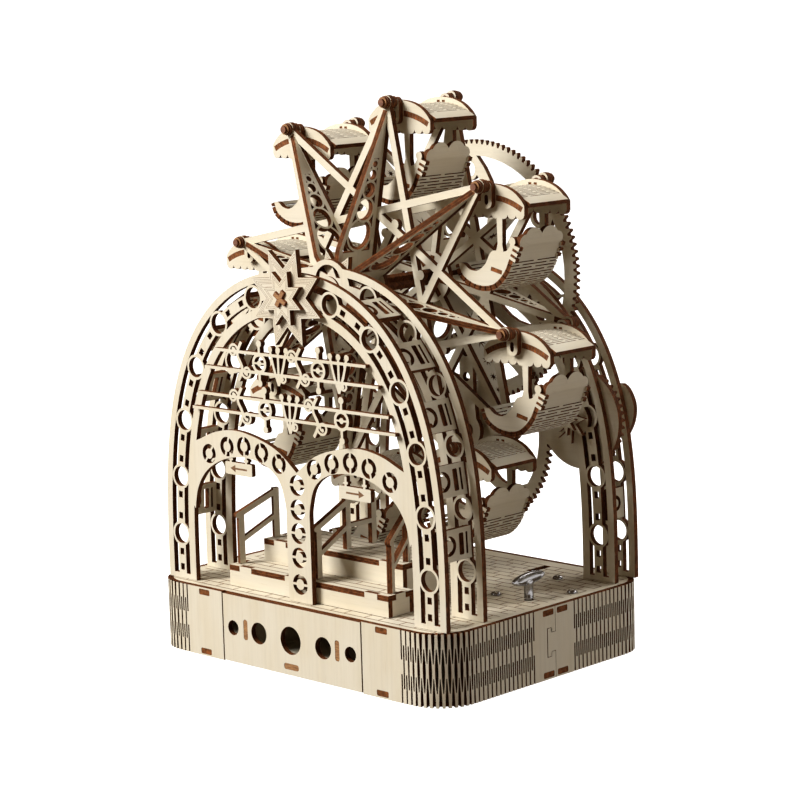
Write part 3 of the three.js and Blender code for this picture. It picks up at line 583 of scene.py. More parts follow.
def base_walls():
    """Two front sheets bent round the front corners, and one round the back."""
    bend_length = math.pi / 2 * CORNER
    flat_front = BASE_X - CORNER - OPENING
    bend = (flat_front, flat_front + bend_length)
    seam = bend[1] + (BASE_Y - CORNER) + 3
    cuts, creases = hinge_slits(28.0, bend[1] + 48.5, *bend)
    tongue = [(seam + s - SHEET_GAP if s else seam + 1, z + (SHEET_GAP if z > 20 else -SHEET_GAP))
              for s, z in TONGUE]
    ops = [(ADD, rect(0, seam, 0, DECK))] + cuts + [(CUT, tongue)]
    for sign, side in ((1, "right"), (-1, "left")):
        wall = Build().sheet(ops, bent_wall(wall_path(sign), side=sign), creases=creases, grain=1,
                             tabs=wall_tabs([14.0, seam - 5.4]))
        wall.piece(f"wall_front_{side}_plywood", "base", [f"wall_front_{side}"])
    path = rear_path()
    total = path.length
    first = BASE_Y - CORNER, BASE_Y - CORNER + bend_length
    second = total - first[1], total - first[0]
    cuts_a, creases_a = hinge_slits(18.5, first[1] + 8, *first)
    cuts_b, creases_b = hinge_slits(second[0] - 8, total - 18.5, *second)
    edge = 3 + SHEET_GAP
    near = [(4, TONGUE[0][1])] + [(edge + s, z) for s, z in TONGUE[1:-1]] + [(4, TONGUE[-1][1])]
    ops = [(ADD, rect(edge, total - edge, 0, DECK)), (ADD, near),
           (ADD, [(total - s, z) for s, z in near])]
    reach = 8.0                                   # the path goes this far forward of its seams
    longer = Path([(BASE_X, -reach)] + [tuple(p) for p in path.p] + [(-BASE_X, -reach)])
    middle = total / 2
    wall = Build().sheet(ops + cuts_a + cuts_b, bent_wall(longer, reach), grain=1,
                         creases=creases_a + creases_b,
                         tabs=wall_tabs([8.7, total - 8.7, middle - 60, middle, middle + 60]))
    wall.piece("wall_rear_plywood", "base", ["wall_rear"])


def paving(half_x, y0, y1, row=6.3, brick=12.4):
    """Engraved paving: rows of staggered blocks."""
    marks = []
    rows = int((y1 - y0) / row)
    for i in range(rows + 1):
        y = y0 + i * row
        marks.append((rect(-half_x, half_x, y - LINE / 2, y + LINE / 2), MARK))
        if i == rows:
            break
        for j in range(int(2 * half_x / brick) + 1):
            x = -half_x + brick * (j + (0.5 if i % 2 else 0.0)) + 1.3 * math.sin(7.1 * i + 3.3 * j)
            if -half_x < x < half_x:
                marks.append((rect(x - LINE / 2, x + LINE / 2, y + LINE / 2, y + row - LINE / 2),
                              MARK))
    return marks


SCREWS = [(70, 2), (99, 30), (72, 50)]
KEY_X, KEY_Y, KEY_HEIGHT, KEY_TURN = 90.5, 5.0, 11.6, 95.0


def deck():
    """The deck with its paving and holes, and the bottom plate."""
    inset = PLY + 0.25
    outline = round_rect(-BASE_X + inset, BASE_X - inset, -BASE_Y + inset, BASE_Y - inset,
                         CORNER - inset, 10)
    holes = [circle(KEY_X, KEY_Y, 2.7), round_rect(45.5, 50.5, 54, 70, 1, 2)]
    holes += [circle(x, y, 1.7, 14) for x, y in SCREWS]
    plate = Build().sheet([(ADD, outline)] + [(CUT, hole) for hole in holes], lying(DECK),
                          marks=paving(BASE_X - 8, -BASE_Y + 7, BASE_Y - 7))
    plate.piece("deck_paving", "base", ["deck_plate"])
    low = Build().sheet([(ADD, outline)], lambda u, v, w: (u, v, w))
    low.piece("bottom_plywood", "base", ["base_bottom_plate"])


def drawer():
    """The front with its five round holes, and a plain box behind it."""
    holes = [(0, 7.6), (24.4, 5.9), (-24.4, 5.9), (44.5, 4.1), (-44.5, 4.1)]
    ops = [(ADD, rect(-DRAWER_HALF, DRAWER_HALF, 0.5, DECK - 0.6))]
    ops += [(CUT, circle(x, 19.3, r, 36)) for x, r in holes]
    tabs = [round_rect(x - 1.6, x + 1.6, 14, 25.2, 1.4, 4) for x in (-34.8, 34.8)]
    tabs.append(round_rect(-5.6, 5.6, 3.4, 6.7, 1.4, 4))
    face = Build().sheet(ops, upright(-BASE_Y), tabs=tabs, grain=1, tab_slot=AMBER)
    face.piece("drawer_front_plywood", "drawer", ["drawer_front"])
    front, back, inner, top = -BASE_Y + PLY + 0.1, -BASE_Y + 80 + PLY, 33.5, 30
    box = Build()
    for x in (inner + PLY, -inner):
        box.sheet([(ADD, rect(front, back, 4, top)),
                   (CUT, circle((front + back) / 2, top, 9, 20))], sideways(x))
    box.piece("drawer_sides_plywood", "drawer", ["drawer_side_right", "drawer_side_left"])
    half = inner - 0.2
    rest = Build().sheet([(ADD, rect(-half, half, front, back))], lying(7))
    rest.sheet([(ADD, rect(-half, half, 7.3, top)), (CUT, circle(0, top, 10, 20))],
               upright(back - PLY))
    rest.piece("drawer_floor_plywood", "drawer", ["drawer_floor", "drawer_back"])


# ------------------------------------------------------------------ arches
def arch_path():
    """The arch's middle line, a superellipse from the right foot over the top to the left foot."""
    steps = 400
    points = []
    for i in range(steps + 1):
        t = math.pi * i / steps
        c = math.cos(t)
        x = math.copysign(ARCH_HALF * abs(c) ** (2 / ARCH_EX), c)
        rise = 0 if i == steps else ARCH_RISE * max(math.sin(t), 0) ** (2 / ARCH_EZ)
        points.append((x, DECK + rise))
    return Path(points)


ARCH = arch_path()


def on_arch(s, offset=0.0):
    """A point of the arch at length s from its right foot, moved out by the offset."""
    return ARCH.at(min(max(s, 0.0), ARCH.length), offset)


def arch_strip(s0, s1, low, high, steps=None):
    """The part of the arch from s0 to s1 between two offsets from its middle line."""
    n = steps or max(int((s1 - s0) / 4), 1)
    places = [s0 + (s1 - s0) * i / n for i in range(n + 1)]
    return [on_arch(s, high) for s in places] + [on_arch(s, low) for s in places[::-1]]


RINGS = [RING_FIRST + RING_STEP * i for i in range(RING_COUNT)]
RINGS += [ARCH.length - s for s in RINGS[::-1]]
BELOW_DECK = rect(-130, 130, DECK - 60, DECK + 0.25)


def link_spans():
    """The lengths of arch between neighbouring rings, and down to each foot."""
    spans = [(3.0, RINGS[0] - RING_OUT)]
    for a, b in zip(RINGS, RINGS[1:]):
        if b - a < RING_STEP * 1.5:
            spans.append((a + RING_OUT, b - RING_OUT))
    spans.append((RINGS[-1] + RING_OUT, ARCH.length - 3.0))
    return spans


TOP_SPAN = (RINGS[RING_COUNT - 1] + RING_OUT, RINGS[RING_COUNT] - RING_OUT)


def arch_face():
    """One arch plate: two rims, rings between them, and a link bar with two square holes."""
    ops = [(ADD, arch_strip(0, ARCH.length, -BAND / 2, BAND / 2, 120))]
    openings = ((3.0, 6.9), (-6.2, -3.0))         # between the link bar and each rim
    for s0, s1 in link_spans() + [TOP_SPAN]:
        ops += [(CUT, arch_strip(s0, s1, *opening)) for opening in openings]
    for s in RINGS:
        reach = RING_OUT + 0.6
        ops += [(CUT, arch_strip(s - reach, s + reach, *opening)) for opening in openings]
        ops.append((ADD, circle(*on_arch(s), RING_OUT + 0.35, 36)))
        ops.append((CUT, circle(*on_arch(s), RING_HOLE + 0.3, 36)))
    for s0, s1 in link_spans():
        if s1 - s0 >= 8:
            ops += [(CUT, arch_strip(s - 1.8, s + 1.8, -1.5, 1.5, 1)) for s in (s0 + 3.6, s1 - 3.6)]
    ops.append((ADD, circle(0, AXLE_Z, 9.5, 32)))
    return ops


def gate_ops():
    """The middle column and the two doorway arches."""
    low, high = 79.5 - 6.7 + DECK, 79.5 + 6.7 + DECK
    right_under = smooth([(8.8, DECK + 44), (9.2, low - 21), (13.5, low - 9), (24, low - 1.8),
                          (40, low + 0.6), (56, low - 2), (70, low - 9.5), (78, low - 20),
                          (80.8, low - 32)], 5)
    right_top = smooth([(84, low + 4), (76, high - 6.5), (62, high - 1.0), (46, high + 1.2),
                        (28, high - 1.6), (13, high - 7.0), (0, high - 16.5)], 5)
    right = [(0, DECK), (8.8, DECK)] + right_under + [(86, low - 24)] + right_top
    ops = [(ADD, right), (ADD, flip_x(right))]
    eyes = [(13.2, 73, 60), (26.4, 77.4, 75), (40, 79.4, 90), (53.4, 78, 105), (68, 72.6, 125)]
    for x, z, turn in eyes:
        for sign in (1, -1):
            ops += eye_ops(sign * x, DECK + z, 5.3, turn if sign > 0 else 180 - turn)
    for z in (10, 24.3, 37.3, 50, 63):
        ops += eye_ops(0, DECK + z, 5.5, 0)
    return ops


def eye_ops(x, z, radius, turn):
    """A round window with a solid disc held in it by two bridges."""
    near, far = radius * 0.4, radius + 0.4
    return [(CUT, circle(x, z, radius, 28)), (ADD, circle(x, z, radius * 0.53, 20)),
            (ADD, spin(rect(near, far, -0.65, 0.65), turn, x, z)),
            (ADD, spin(rect(-far, -near, -0.65, 0.65), turn, x, z))]


def front_arch():
    """The gate plate, and the plate behind it with a round opening at the axle."""
    rims, *windows = arch_face()
    bore = [(CUT, circle(0, AXLE_Z, AXLE_BORE, 24)), (CUT, BELOW_DECK)]
    under_arch = (CUT, arch_strip(0, ARCH.length, -BAND / 2 + 4.8, BAND / 2 + 1, 120))
    gate = Build().sheet(gate_ops() + [under_arch, rims] + windows + bore, upright(Y_GATE), grain=1)
    gate.piece("front_arch_gate_plywood", "base", ["front_arch_gate_plate"])
    hump = [(ADD, circle(0, AXLE_Z + 1, 16, 40)), (CUT, circle(0, AXLE_Z + 4.5, 9.8, 32)),
            (ADD, circle(0, AXLE_Z, 8.0, 32)), (ADD, rect(-10, 10, AXLE_Z - 3, AXLE_Z + 1))]
    back = Build().sheet([rims] + windows + hump + bore, upright(Y_ARCH_BACK), grain=1)
    back.piece("front_arch_back_plywood", "base", ["front_arch_back_plate"])


def rear_arch():
    """Two plates with a column between the axle and the middle gear, and a boss for the crank."""
    half_column = [(7.5, MIDDLE_Z), (5, MIDDLE_Z + 22), (5, AXLE_Z - 22), (8, AXLE_Z - 9)]
    column = flip_x(half_column) + half_column[::-1]
    ops = arch_face() + [(ADD, column), (ADD, circle(0, MIDDLE_Z, 9.5, 32)),
                         (ADD, circle(CRANK_X, CRANK_Z, 9.5, 32))]
    ops += [(CUT, circle(0, MIDDLE_Z + rise, 2.6, 20)) for rise in (30, 44, 58)]
    ops += [(CUT, circle(0, MIDDLE_Z, 4.05, 24)), (CUT, circle(CRANK_X, CRANK_Z, 3.98, 24)),
            (CUT, circle(0, AXLE_Z, AXLE_BORE, 24)), (CUT, BELOW_DECK)]
    for name, place in (("front", upright(Y_REAR_FRONT)), ("back", upright_back(Y_REAR_BACK + PLY))):
        plate = Build().sheet(ops, place, grain=1)
        plate.piece(f"rear_arch_{name}_plywood", "base", [f"rear_arch_{name}_plate"])


def spacer(s, y0, y1):
    """A cross plate between two arch plates: a round window in one half, a slot in the other."""
    x, z = on_arch(s, 1.5)
    ax, az = on_arch(s - 4)
    bx, bz = on_arch(s + 4)
    size = math.hypot(bx - ax, bz - az)
    tx, tz = (bx - ax) / size, (bz - az) / size

    def place(u, v, w):
        return (x + tx * v + tz * w, u, z + tz * v - tx * w)
    middle = (y0 + y1) / 2
    ops = [(ADD, rect(y0 + 0.1, y1 - 0.1, -8.2, 8.2))]
    if y1 - y0 < 20:
        ops += [(CUT, circle(middle, 0, 4.4, 26)), (ADD, circle(middle, 0, 2.5, 20)),
                (ADD, rect(middle - 5, middle, -0.8, 0.8))]
    else:
        ops += [(CUT, circle(middle - 4.2, 0, 5.2, 26)), (ADD, circle(middle - 4.2, 0, 3.0, 20)),
                (ADD, rect(middle - 10, middle - 4.2, -0.8, 0.8)),
                (CUT, round_rect(middle + 3.2, middle + 6.6, -5.6, 5.6, 0.5, 1)),
                (CUT, rect(middle + 8.2, middle + 9.6, -5.6, 5.6))]
    return Build().sheet(ops, place)


def spacers():
    """The cross plates; a few of them stand for CAD nodes, listed with their place on the arch."""
    low, high = RING_FIRST + RING_STEP * 0.5, RING_FIRST + RING_STEP * 3.5
    front = {"front_spacer_right_low": low, "front_spacer_right_high": high,
             "front_spacer_left_low": ARCH.length - low,
             "front_spacer_left_high": ARCH.length - high}
    rear = {"rear_spacer_right": low, "rear_spacer_left": ARCH.length - low}
    middles = [(a + b) / 2 for a, b in link_spans()]
    above_deck = [(number, s) for number, s in enumerate(middles, 1) if 12 <= s <= ARCH.length - 12]
    for group, nodes, y0, y1 in (("front", front, Y_GATE + PLY, Y_ARCH_BACK),
                                 ("rear", rear, Y_REAR_FRONT + PLY, Y_REAR_BACK)):
        for number, s in above_deck:
            stands_for = [name for name, at in nodes.items() if abs(at - s) < 2]
            if group == "rear":
                gap = number % 2 == 1 and 6 < number < len(middles) - 5
                if gap or (touches_gears(s) and not stands_for):
                    continue
            spacer(s, y0, y1).piece(f"{group}_arch_spacer_{number}", "base", stands_for)


def touches_gears(s):
    """Whether a cross plate there would reach into the gears between the rear plates."""
    x, z = on_arch(s)
    reach = 11.0
    near_wheel = math.hypot(x, z - AXLE_Z) < T_WHEEL * MODULE / 2 + reach
    near_middle = math.hypot(x, z - MIDDLE_Z) < T_MIDDLE * MODULE / 2 + reach
    near_crank = math.hypot(x - CRANK_X, z - CRANK_Z) < CRANK_DISC + reach
    return near_wheel or near_middle or near_crank


# ------------------------------------------------------------------ sign
def scroll(x, z, size, turns, start, hand, width=1.25):
    """A spiral stroke that opens out from a small bead."""
    points = []
    steps = int(16 * turns)
    for i in range(steps + 1):
        t = i / steps
        r = size * (0.30 + 0.70 * t)
        a = math.radians(start) + hand * TAU * turns * (t - 1)
        points.append(polar(x, z, r, a))
    return [(ADD, stroke(points, width)), (ADD, circle(*points[0], width * 0.75, 10))]


def ornament(x, z, height, kind):
    """One generic filigree motif of the sign: a stem and curls between two bars, no lettering."""
    half = height / 2
    if kind == "tendril":
        stem = smooth([(x - 1.5, z - half), (x + 1.8, z - half * 0.35), (x - 1.8, z + half * 0.35),
                       (x + 1.5, z + half)], 6)
        return ([(ADD, stroke(stem, 1.9))] + scroll(x + 5.0, z - half * 0.5, 3.9, 1.25, 180, -1, 1.4)
                + scroll(x - 5.0, z + half * 0.5, 3.9, 1.25, 0, -1, 1.4))
    if kind == "fan":
        ops = []
        for lean in (-6.0, 0, 6.0):
            rib = smooth([(x, z - half), (x + lean * 0.6, z - 1), (x + lean, z + half * 0.75)], 6)
            ops.append((ADD, stroke(rib, 1.6)))
            ops.append((ADD, circle(x + lean, z + half * 0.78, 1.7, 14)))
        return ops + scroll(x + 3.6, z - half * 0.62, 2.5, 1.1, 180, -1)
    ops = [(ADD, circle(x, z, 5.4, 28)), (CUT, circle(x, z, 3.7, 28)),
           (ADD, circle(x, z, 1.6, 14)), (ADD, bar((x - 4.5, z), (x + 4.5, z), 1.0)),
           (ADD, bar((x, z + 5), (x, z + half), 1.7)), (ADD, bar((x, z - 5), (x, z - half), 1.7))]
    return ops + [(ADD, circle(x, z + side * half, 1.9, 14)) for side in (-1, 1)]


def sign():
    """Two rows of filigree, each on a pair of thin bars across the arch."""
    height = 21.0
    rows = [("upper", ((169, 56.5), (159, 65)), 164, (-37, -22, -7.5, 7.5, 22, 37)),
            ("lower", ((144.5, 71.5), (136, 76)), 139.5, (-38, -19, 0, 19, 38))]
    for name, bars, middle, places in rows:
        ops = [(ADD, rect(-half, half, z - 0.8, z + 0.8)) for z, half in bars]
        for i, x in enumerate(places):
            ops += ornament(x, middle, height, ("tendril", "ring", "fan")[i % 3])
        row = Build().sheet(ops, upright(Y_GATE - PLY - SHEET_GAP))
        row.piece(f"sign_{name}_filigree", "base", [f"sign_{name}_scroll"])


def direction_plates():
    """Two small hanging plates with an arrow each."""
    for name, x0, x1, z0, hand in (("left", -55.5, -34.5, 101.2, -1), ("right", 31.5, 54, 98.2, 1)):
        z1 = z0 + 6.8
        middle, level = (x0 + x1) / 2, (z0 + z1) / 2
        ops = [(ADD, round_rect(x0, x1, z0, z1, 0.8, 2))]
        for x in (x0 + 4.5, x1 - 4.5):
            ops.append((ADD, rect(x - 0.8, x + 0.8, z1 - 1, z1 + 5)))
            ops.append((ADD, rect(x - 1.7, x + 1.7, z1 + 1.0, z1 + 2.2)))
        arrow = [(-6.5, -0.5), (2.5, -0.5), (2.5, -2), (6.5, 0), (2.5, 2), (2.5, 0.5), (-6.5, 0.5)]
        arrow = [(middle + hand * px, level + pz) for px, pz in arrow]
        plate = Build().sheet(ops, upright(Y_GATE + 0.2), thick=2.6, marks=[(arrow, MARK)])
        plate.piece(f"direction_plate_{name}", "base")


# ------------------------------------------------------------------ platform and railings
def planks(x0, x1, y0, y1, row=5.6, board=33, stagger=11):
    """Engraved floor boards, whose joints repeat every third row."""
    marks = []
    y = y0
    i = 0
    while y < y1:
        marks.append((rect(x0, x1, y - LINE / 2, y + LINE / 2), MARK))
        x = x0 + 9 + (i % 3) * stagger
        while x < x1:
            marks.append((rect(x - LINE / 2, x + LINE / 2, y + LINE / 2,
                               min(y + row, y1) - LINE / 2), MARK))
            x += board
        y += row
        i += 1
    return marks


def platform():
    """Two steps, each an open box of sheets under a planked top."""
    for name, half, y0, y1, top in (("lower", 60, -69, -50.3, 49.7), ("upper", 52.5, -50, -16.5, 61.7)):
        middle, low, under = (y0 + y1) / 2, DECK + 0.25, top - PLY
        notches, tabs = [], []
        for x in (-half + 12.5, -half * 0.2, half - 12.5):
            notches.append((CUT, rect(x - 4.7, x + 4.7, y0 - 1, y0 + PLY)))
            tabs.append((ADD, rect(x - 4.6, x + 4.6, under - 1, top)))
        for x0, x1 in ((half - PLY, half + 1), (-half - 1, PLY - half)):
            notches.append((CUT, rect(x0, x1, middle - 3.6, middle + 3.6)))
        riser = [(ADD, rect(-half, half, low, under - 0.05))]
        windows = [(CUT, rect(x0, x1, DECK, under - 4)) for x0, x1 in ((-half + 9, -9), (9, half - 9))]
        step = Build().sheet([(ADD, rect(-half, half, y0, y1))] + notches, lying(top),
                             marks=planks(-half + 1, half - 1, y0 + 4, y1 - 1))
        step.sheet(riser + tabs, upright(y0))
        step.sheet(riser + windows, upright(y1 - PLY))
        for x in (half, -half + PLY):
            step.sheet([(ADD, rect(y0 + PLY, y1 - PLY, low, under - 0.05)),
                        (ADD, rect(middle - 3.5, middle + 3.5, under - 1, top))], sideways(x))
        step.piece(f"platform_{name}_plywood", "base", [f"platform_{name}_step"])


def rail_ops(run, tail):
    """A stair rail in (along, height): two posts and two bars, and a level part past the steps."""
    low, high, post, width = 49.9, 61.9, 27.5, 3.4
    ops = [(ADD, rect(-width / 2, width / 2, low, low + post + 1.2)),
           (ADD, rect(run - width / 2, run + width / 2, high, high + post)),
           (ADD, bar((-width / 2 - 0.5, low + post - 1.0), (run + 0.5, high + post - 1.6), 3.0)),
           (ADD, bar((0, low + 12.5), (run, high + 12.5), 2.4)),
           (ADD, circle(run, high + post - 1.6, 1.7, 14)),
           (ADD, circle(-width / 2, low + post - 0.8, 1.6, 14))]
    if tail:
        ops += [(ADD, rect(run, run + tail, high + post - 3.1, high + post - 0.1)),
                (ADD, rect(run, run + tail, high + 11.3, high + 13.7)),
                (ADD, rect(run + tail - width, run + tail, high, high + post - 0.1))]
    return ops


def railings():
    """Three stair rails, placed by their two ends."""
    for name, x0, x1, y1, tail in (("left", -56.5, -49.3, -43.5, 0), ("right", 56.5, 49.3, -43.5, 0),
                                   ("middle", 3, 3, -41, 21)):
        y0 = -63
        run = math.hypot(x1 - x0, y1 - y0)
        dx, dy = (x1 - x0) / run, (y1 - y0) / run

        def place(u, v, w, x0=x0, y0=y0, dx=dx, dy=dy):
            side = PLY / 2 - w
            return (x0 + dx * u + dy * side, y0 + dy * u - dx * side, v)
        rail = Build().sheet(rail_ops(run, tail), place)
        rail.piece(f"railing_{name}_plywood", "base", [f"railing_{name}"])


# ------------------------------------------------------------------ wheel
def around(k, radius=TIP_R):
    """A point of the wheel at gondola k; k - 0.5 lies midway between two gondolas."""
    return polar(0, AXLE_Z, radius, math.radians(PHASE - CABIN_STEP * k))


def cross(arm, half):
    """The axle's section, in its place on the model."""
    points = [(-arm, -half), (-half, -half), (-half, -arm), (half, -arm), (half, -half),
              (arm, -half), (arm, half), (half, half), (half, arm), (-half, arm), (-half, half),
              (-arm, half)]
    return spin(points, CROSS_TURN, 0, AXLE_Z)


AXLE_HOLE = (CUT, cross(4.95, 1.5))


def hub_lines(outer, inner, turn, rings, line=0.5):
    """Engraved outlines inside a star, each a narrow band."""
    marks = []
    for scale in rings:
        thin = 1 - line / (outer * scale)
        marks.append((star(8, outer * scale, inner * scale, turn, 0, AXLE_Z), MARK))
        marks.append((star(8, outer * scale * thin, inner * scale * thin, turn, 0, AXLE_Z), FACE))
    return marks


def axle():
    """Two crossed strips seen as one bar, with burnt edges at both ends."""
    rod = Build().sheet([(ADD, cross(4.7, 1.3))], upright(-81.5), thick=162,
                        marks=[(cross(5, 2), DARK), (cross(4.45, 1.05), AMBER)])
    rod.piece("axle_plywood", "wheel", ["wheel_axle"])


def star_cap():
    """Two eight-pointed stars, one on the other, with fine lines that follow their outlines."""
    cap = Build()
    y = Y_GATE - PLY - 0.7
    for outer, inner, rings in ((26.8, 15.0, (0.93, 0.86, 0.79, 0.72)), (15.0, 8.3, (0.87, 0.74))):
        cap.sheet([(ADD, star(8, outer, inner, STAR_TURN, 0, AXLE_Z)), AXLE_HOLE], upright(y),
                  marks=hub_lines(outer, inner, STAR_TURN, rings, 0.42))
        y -= PLY + 0.05
    cap.piece("star_cap_plywood", "wheel", ["wheel_star_cap"])


def spire_ops(face, hub, side, stars):
    """A radial plate, in (distance from the axle, Y): rings or stars between its two edges."""
    outer, shoulder = 95.0, 22.0
    slope = abs(hub - face) / (outer - shoulder)
    through = face - side * (PLY + SHEET_GAP)     # its tabs go through the flat star
    ops = [(ADD, [(7, through), (12, through), (12, face), (90, face), (90, through),
                  (outer, through), (outer, face), (shoulder, hub), (7, hub)])]

    def depth(r):
        return (outer - r) * slope
    if stars:
        for r in (30, 43, 55, 65, 73):
            size = max(depth(r) * 0.30, 1.0)
            ops.append((CUT, star(8, size, size * 0.32, 11, r, face + side * depth(r) * 0.5)))
        return ops
    wide = 2.4
    ops.append((CUT, [(20.5, face + side * wide), (70, face + side * wide),
                      (70, face + side * (depth(70) - wide)), (22, face + side * (depth(22) - wide)),
                      (20.5, face + side * (depth(22) - wide - 0.4))]))
    for r in (29.5, 42.8, 53.3, 61.3, 67.0):
        size = depth(r) / 2 - wide + 0.55
        centre = (r, face + side * depth(r) / 2)
        ops.append((ADD, circle(*centre, size, 26)))
        ops.append((CUT, circle(*centre, max(size - 1.25, 0.5), 26)))
    return ops


def wheel_frame(name, y_star, y_hub, side, stars):
    """One side of the wheel: a flat star of long bars, eight radial spires and a hub star."""
    face = y_star if side < 0 else y_star + PLY
    outward = upright if side < 0 else upright_back
    ops = [(ADD, bar(around(k, TIP_R - 1), around(k + 3, TIP_R - 1), 4.0)) for k in range(CABINS)]
    for k in range(CABINS):
        ops.append((ADD, circle(*around(k), 3.6, 24)))
        ops.append((ADD, bar(around(k, 13), around(k, 95), 3.4)))
        ops.append((ADD, circle(*around(k - 0.5, 40.6), 2.6, 14)))
    ops.append((ADD, circle(0, AXLE_Z, 14, 32)))
    ops += [(CUT, circle(*around(k), PIN_BORE, 20)) for k in range(CABINS)]
    lattice = Build().sheet(ops + [AXLE_HOLE], outward(face))
    for k in range(CABINS):
        lattice.sheet(spire_ops(face, y_hub, side, stars and k % 2 == 0),
                      radial(PHASE - CABIN_STEP * k))
    turn = PHASE + CABIN_STEP / 2
    lattice.sheet([(ADD, star(8, 22, 13, turn, 0, AXLE_Z)), AXLE_HOLE], outward(y_hub),
                  marks=hub_lines(22, 13, turn, (0.92, 0.84, 0.76)))
    if side < 0:
        lattice.sheet([(ADD, star(8, 13, 9, PHASE, 0, AXLE_Z)), AXLE_HOLE], upright(y_hub - 2.4),
                      thick=2.3)
    lattice.piece(f"wheel_{name}_lattice", "wheel", [f"wheel_{name}_frame"])
    caps = Build()
    outside = face + side * 4.6                   # the outermost face of a cap
    for k in range(CABINS):
        for radius, near, far, slot in ((2.9, 1.6, 2.9, AMBER), (3.3, 3.0, 4.3, DARK),
                                        (1.9, 0.2, 1.5, DARK)):
            y0, y1 = sorted((outside - side * near, outside - side * far))
            caps.disc(*around(k), radius, y0, y1, slot=slot)
    caps.piece(f"wheel_{name}_pin_caps", "wheel")


# ------------------------------------------------------------------ gears
def gear_outline(x, z, teeth, tooth_angle, addendum=1.0, dedendum=1.35):
    """A gear with straight-sided teeth; the first one stands at tooth_angle."""
    pitch = teeth * MODULE / 2
    root, outer = pitch - dedendum, pitch + addendum
    half = 0.235 * math.pi * MODULE
    points = []
    for i in range(teeth):
        middle = tooth_angle + TAU * i / teeth
        for radius, share in ((root, -1.5), (pitch, -0.98), (outer, -0.52), (outer, 0.52),
                              (pitch, 0.98), (root, 1.5)):
            a = middle + share * half / radius
            points.append(polar(x, z, radius, a))
    return points


def swirl_window(x, z, i, count, inner, outer, sweep):
    """An opening between two curved spokes."""
    steps = 8
    near, far = [], []
    for j in range(steps + 1):
        radius = inner + (outer - inner) * j / steps
        bend = sweep * (j / steps) ** 1.5
        flare = SPOKE / 2 * (1 + 0.9 * (j / steps) ** 4 + 0.5 * (1 - j / steps) ** 3)
        start = TAU * i / count + bend
        a = start + flare / radius
        b = start + TAU / count - flare / radius
        near.append(polar(x, z, radius, a))
        far.append(polar(x, z, radius, b))
    top = TAU * i / count + sweep + SPOKE * 0.95 / outer
    end = TAU * (i + 1) / count + sweep - SPOKE * 0.95 / outer
    crown = arc(x, z, outer, top, end, 8)
    return near + crown[1:-1] + far[::-1]


def gears():
    """The big gear on the axle, the middle gear with its pinion, and the crank gear."""
    sweep = 0.6
    ops = [(ADD, gear_outline(0, AXLE_Z, T_WHEEL, -math.pi / 2))]
    for i in range(6):
        ops.append((CUT, swirl_window(0, AXLE_Z, i, 6, 15, 63.5, sweep)))
        ring = polar(0, AXLE_Z, 56, TAU * i / 6 + sweep)
        ops += [(ADD, circle(*ring, 6.4, 26)), (CUT, circle(*ring, 4.4, 26))]
    Build().sheet(ops + [AXLE_HOLE], upright(70)).piece("wheel_gear_plywood", "wheel", ["wheel_gear"])

    ops = [(ADD, gear_outline(0, MIDDLE_Z, T_MIDDLE, CRANK_ANGLE))]
    ops += [(CUT, swirl_window(0, MIDDLE_Z, i, 5, 22, 46.5, 0.5)) for i in range(5)]
    middle = Build().sheet(ops, upright(Y_GEARS))
    pinion = gear_outline(0, MIDDLE_Z, T_PINION, math.pi / 2 + math.pi / T_PINION)
    middle.sheet([(ADD, pinion)], upright(Y_GEARS + PLY + 0.05), thick=3.9)
    middle.disc(0, MIDDLE_Z, 3.95, 58, 80, slot=DARK, n=28)
    middle.piece("middle_gear_plywood", "intermediate_gear", ["middle_gear"])

    ops = [(ADD, gear_outline(CRANK_X, CRANK_Z, T_CRANK, CRANK_ANGLE + math.pi + math.pi / T_CRANK))]
    ops += [(CUT, circle(*polar(CRANK_X, CRANK_Z, 14, TAU * i / 6), 4.6, 24)) for i in range(6)]
    Build().sheet(ops, upright(Y_GEARS)).piece("crank_gear_plywood", "crank", ["crank_gear"])


# ------------------------------------------------------------------ crank
def crank():
    """The shaft, the cover disc with a small double star in front, and the handle."""
    shaft = Build().disc(CRANK_X, CRANK_Z, 3.88, 55.5, 85, slot=DARK, n=28)
    shaft.piece("crank_shaft_dowel", "crank", ["crank_shaft"])
    cover = Build().sheet([(ADD, circle(CRANK_X, CRANK_Z, CRANK_DISC, 72)),
                           (CUT, circle(CRANK_X, CRANK_Z, 3.95))], upright(62.5))
    cover.piece("crank_cover_disc", "crank", ["crank_disc"])
    cap = Build()
    for size, low, y in ((12.5, 5.6, 53.2), (7.8, 3.6, 50.9)):
        cap.sheet([(ADD, star(8, size, low, 10, CRANK_X, CRANK_Z)),
                   (CUT, circle(CRANK_X, CRANK_Z, 1.2, 8))], upright(y), thick=2.25)
    cap.piece("crank_star_cap", "crank")
    spine = smooth([(3, 5), (9.5, 9.5), (14.6, 14.0), (19.6, 7.0), (19.8, -1.5), (16.8, -9.5)], 6)
    shares = [i / (len(spine) - 1) for i in range(len(spine))]
    arm = stroke(spine, [6.0 - 3.0 * t ** 2 + 2.2 * math.sin(math.pi * t) for t in shares])
    ops = [(ADD, circle(0, 0, 8.5, 32))]
    for turn in (0, 180):
        end = spin([(16.4, -10.6)], turn)[0]
        ops += [(ADD, spin(arm, turn)), (ADD, circle(*end, 2.5, 18))]
    ops.append((CUT, circle(0, 0, 3.95)))
    handle = Build().sheet(ops, upright_back(Y_REAR_BACK + PLY + 4.5))
    handle.verts = [(x + CRANK_X, y, z + CRANK_Z) for x, y, z in handle.verts]
    handle.piece("crank_swirl_handle", "crank", ["crank_handle"])


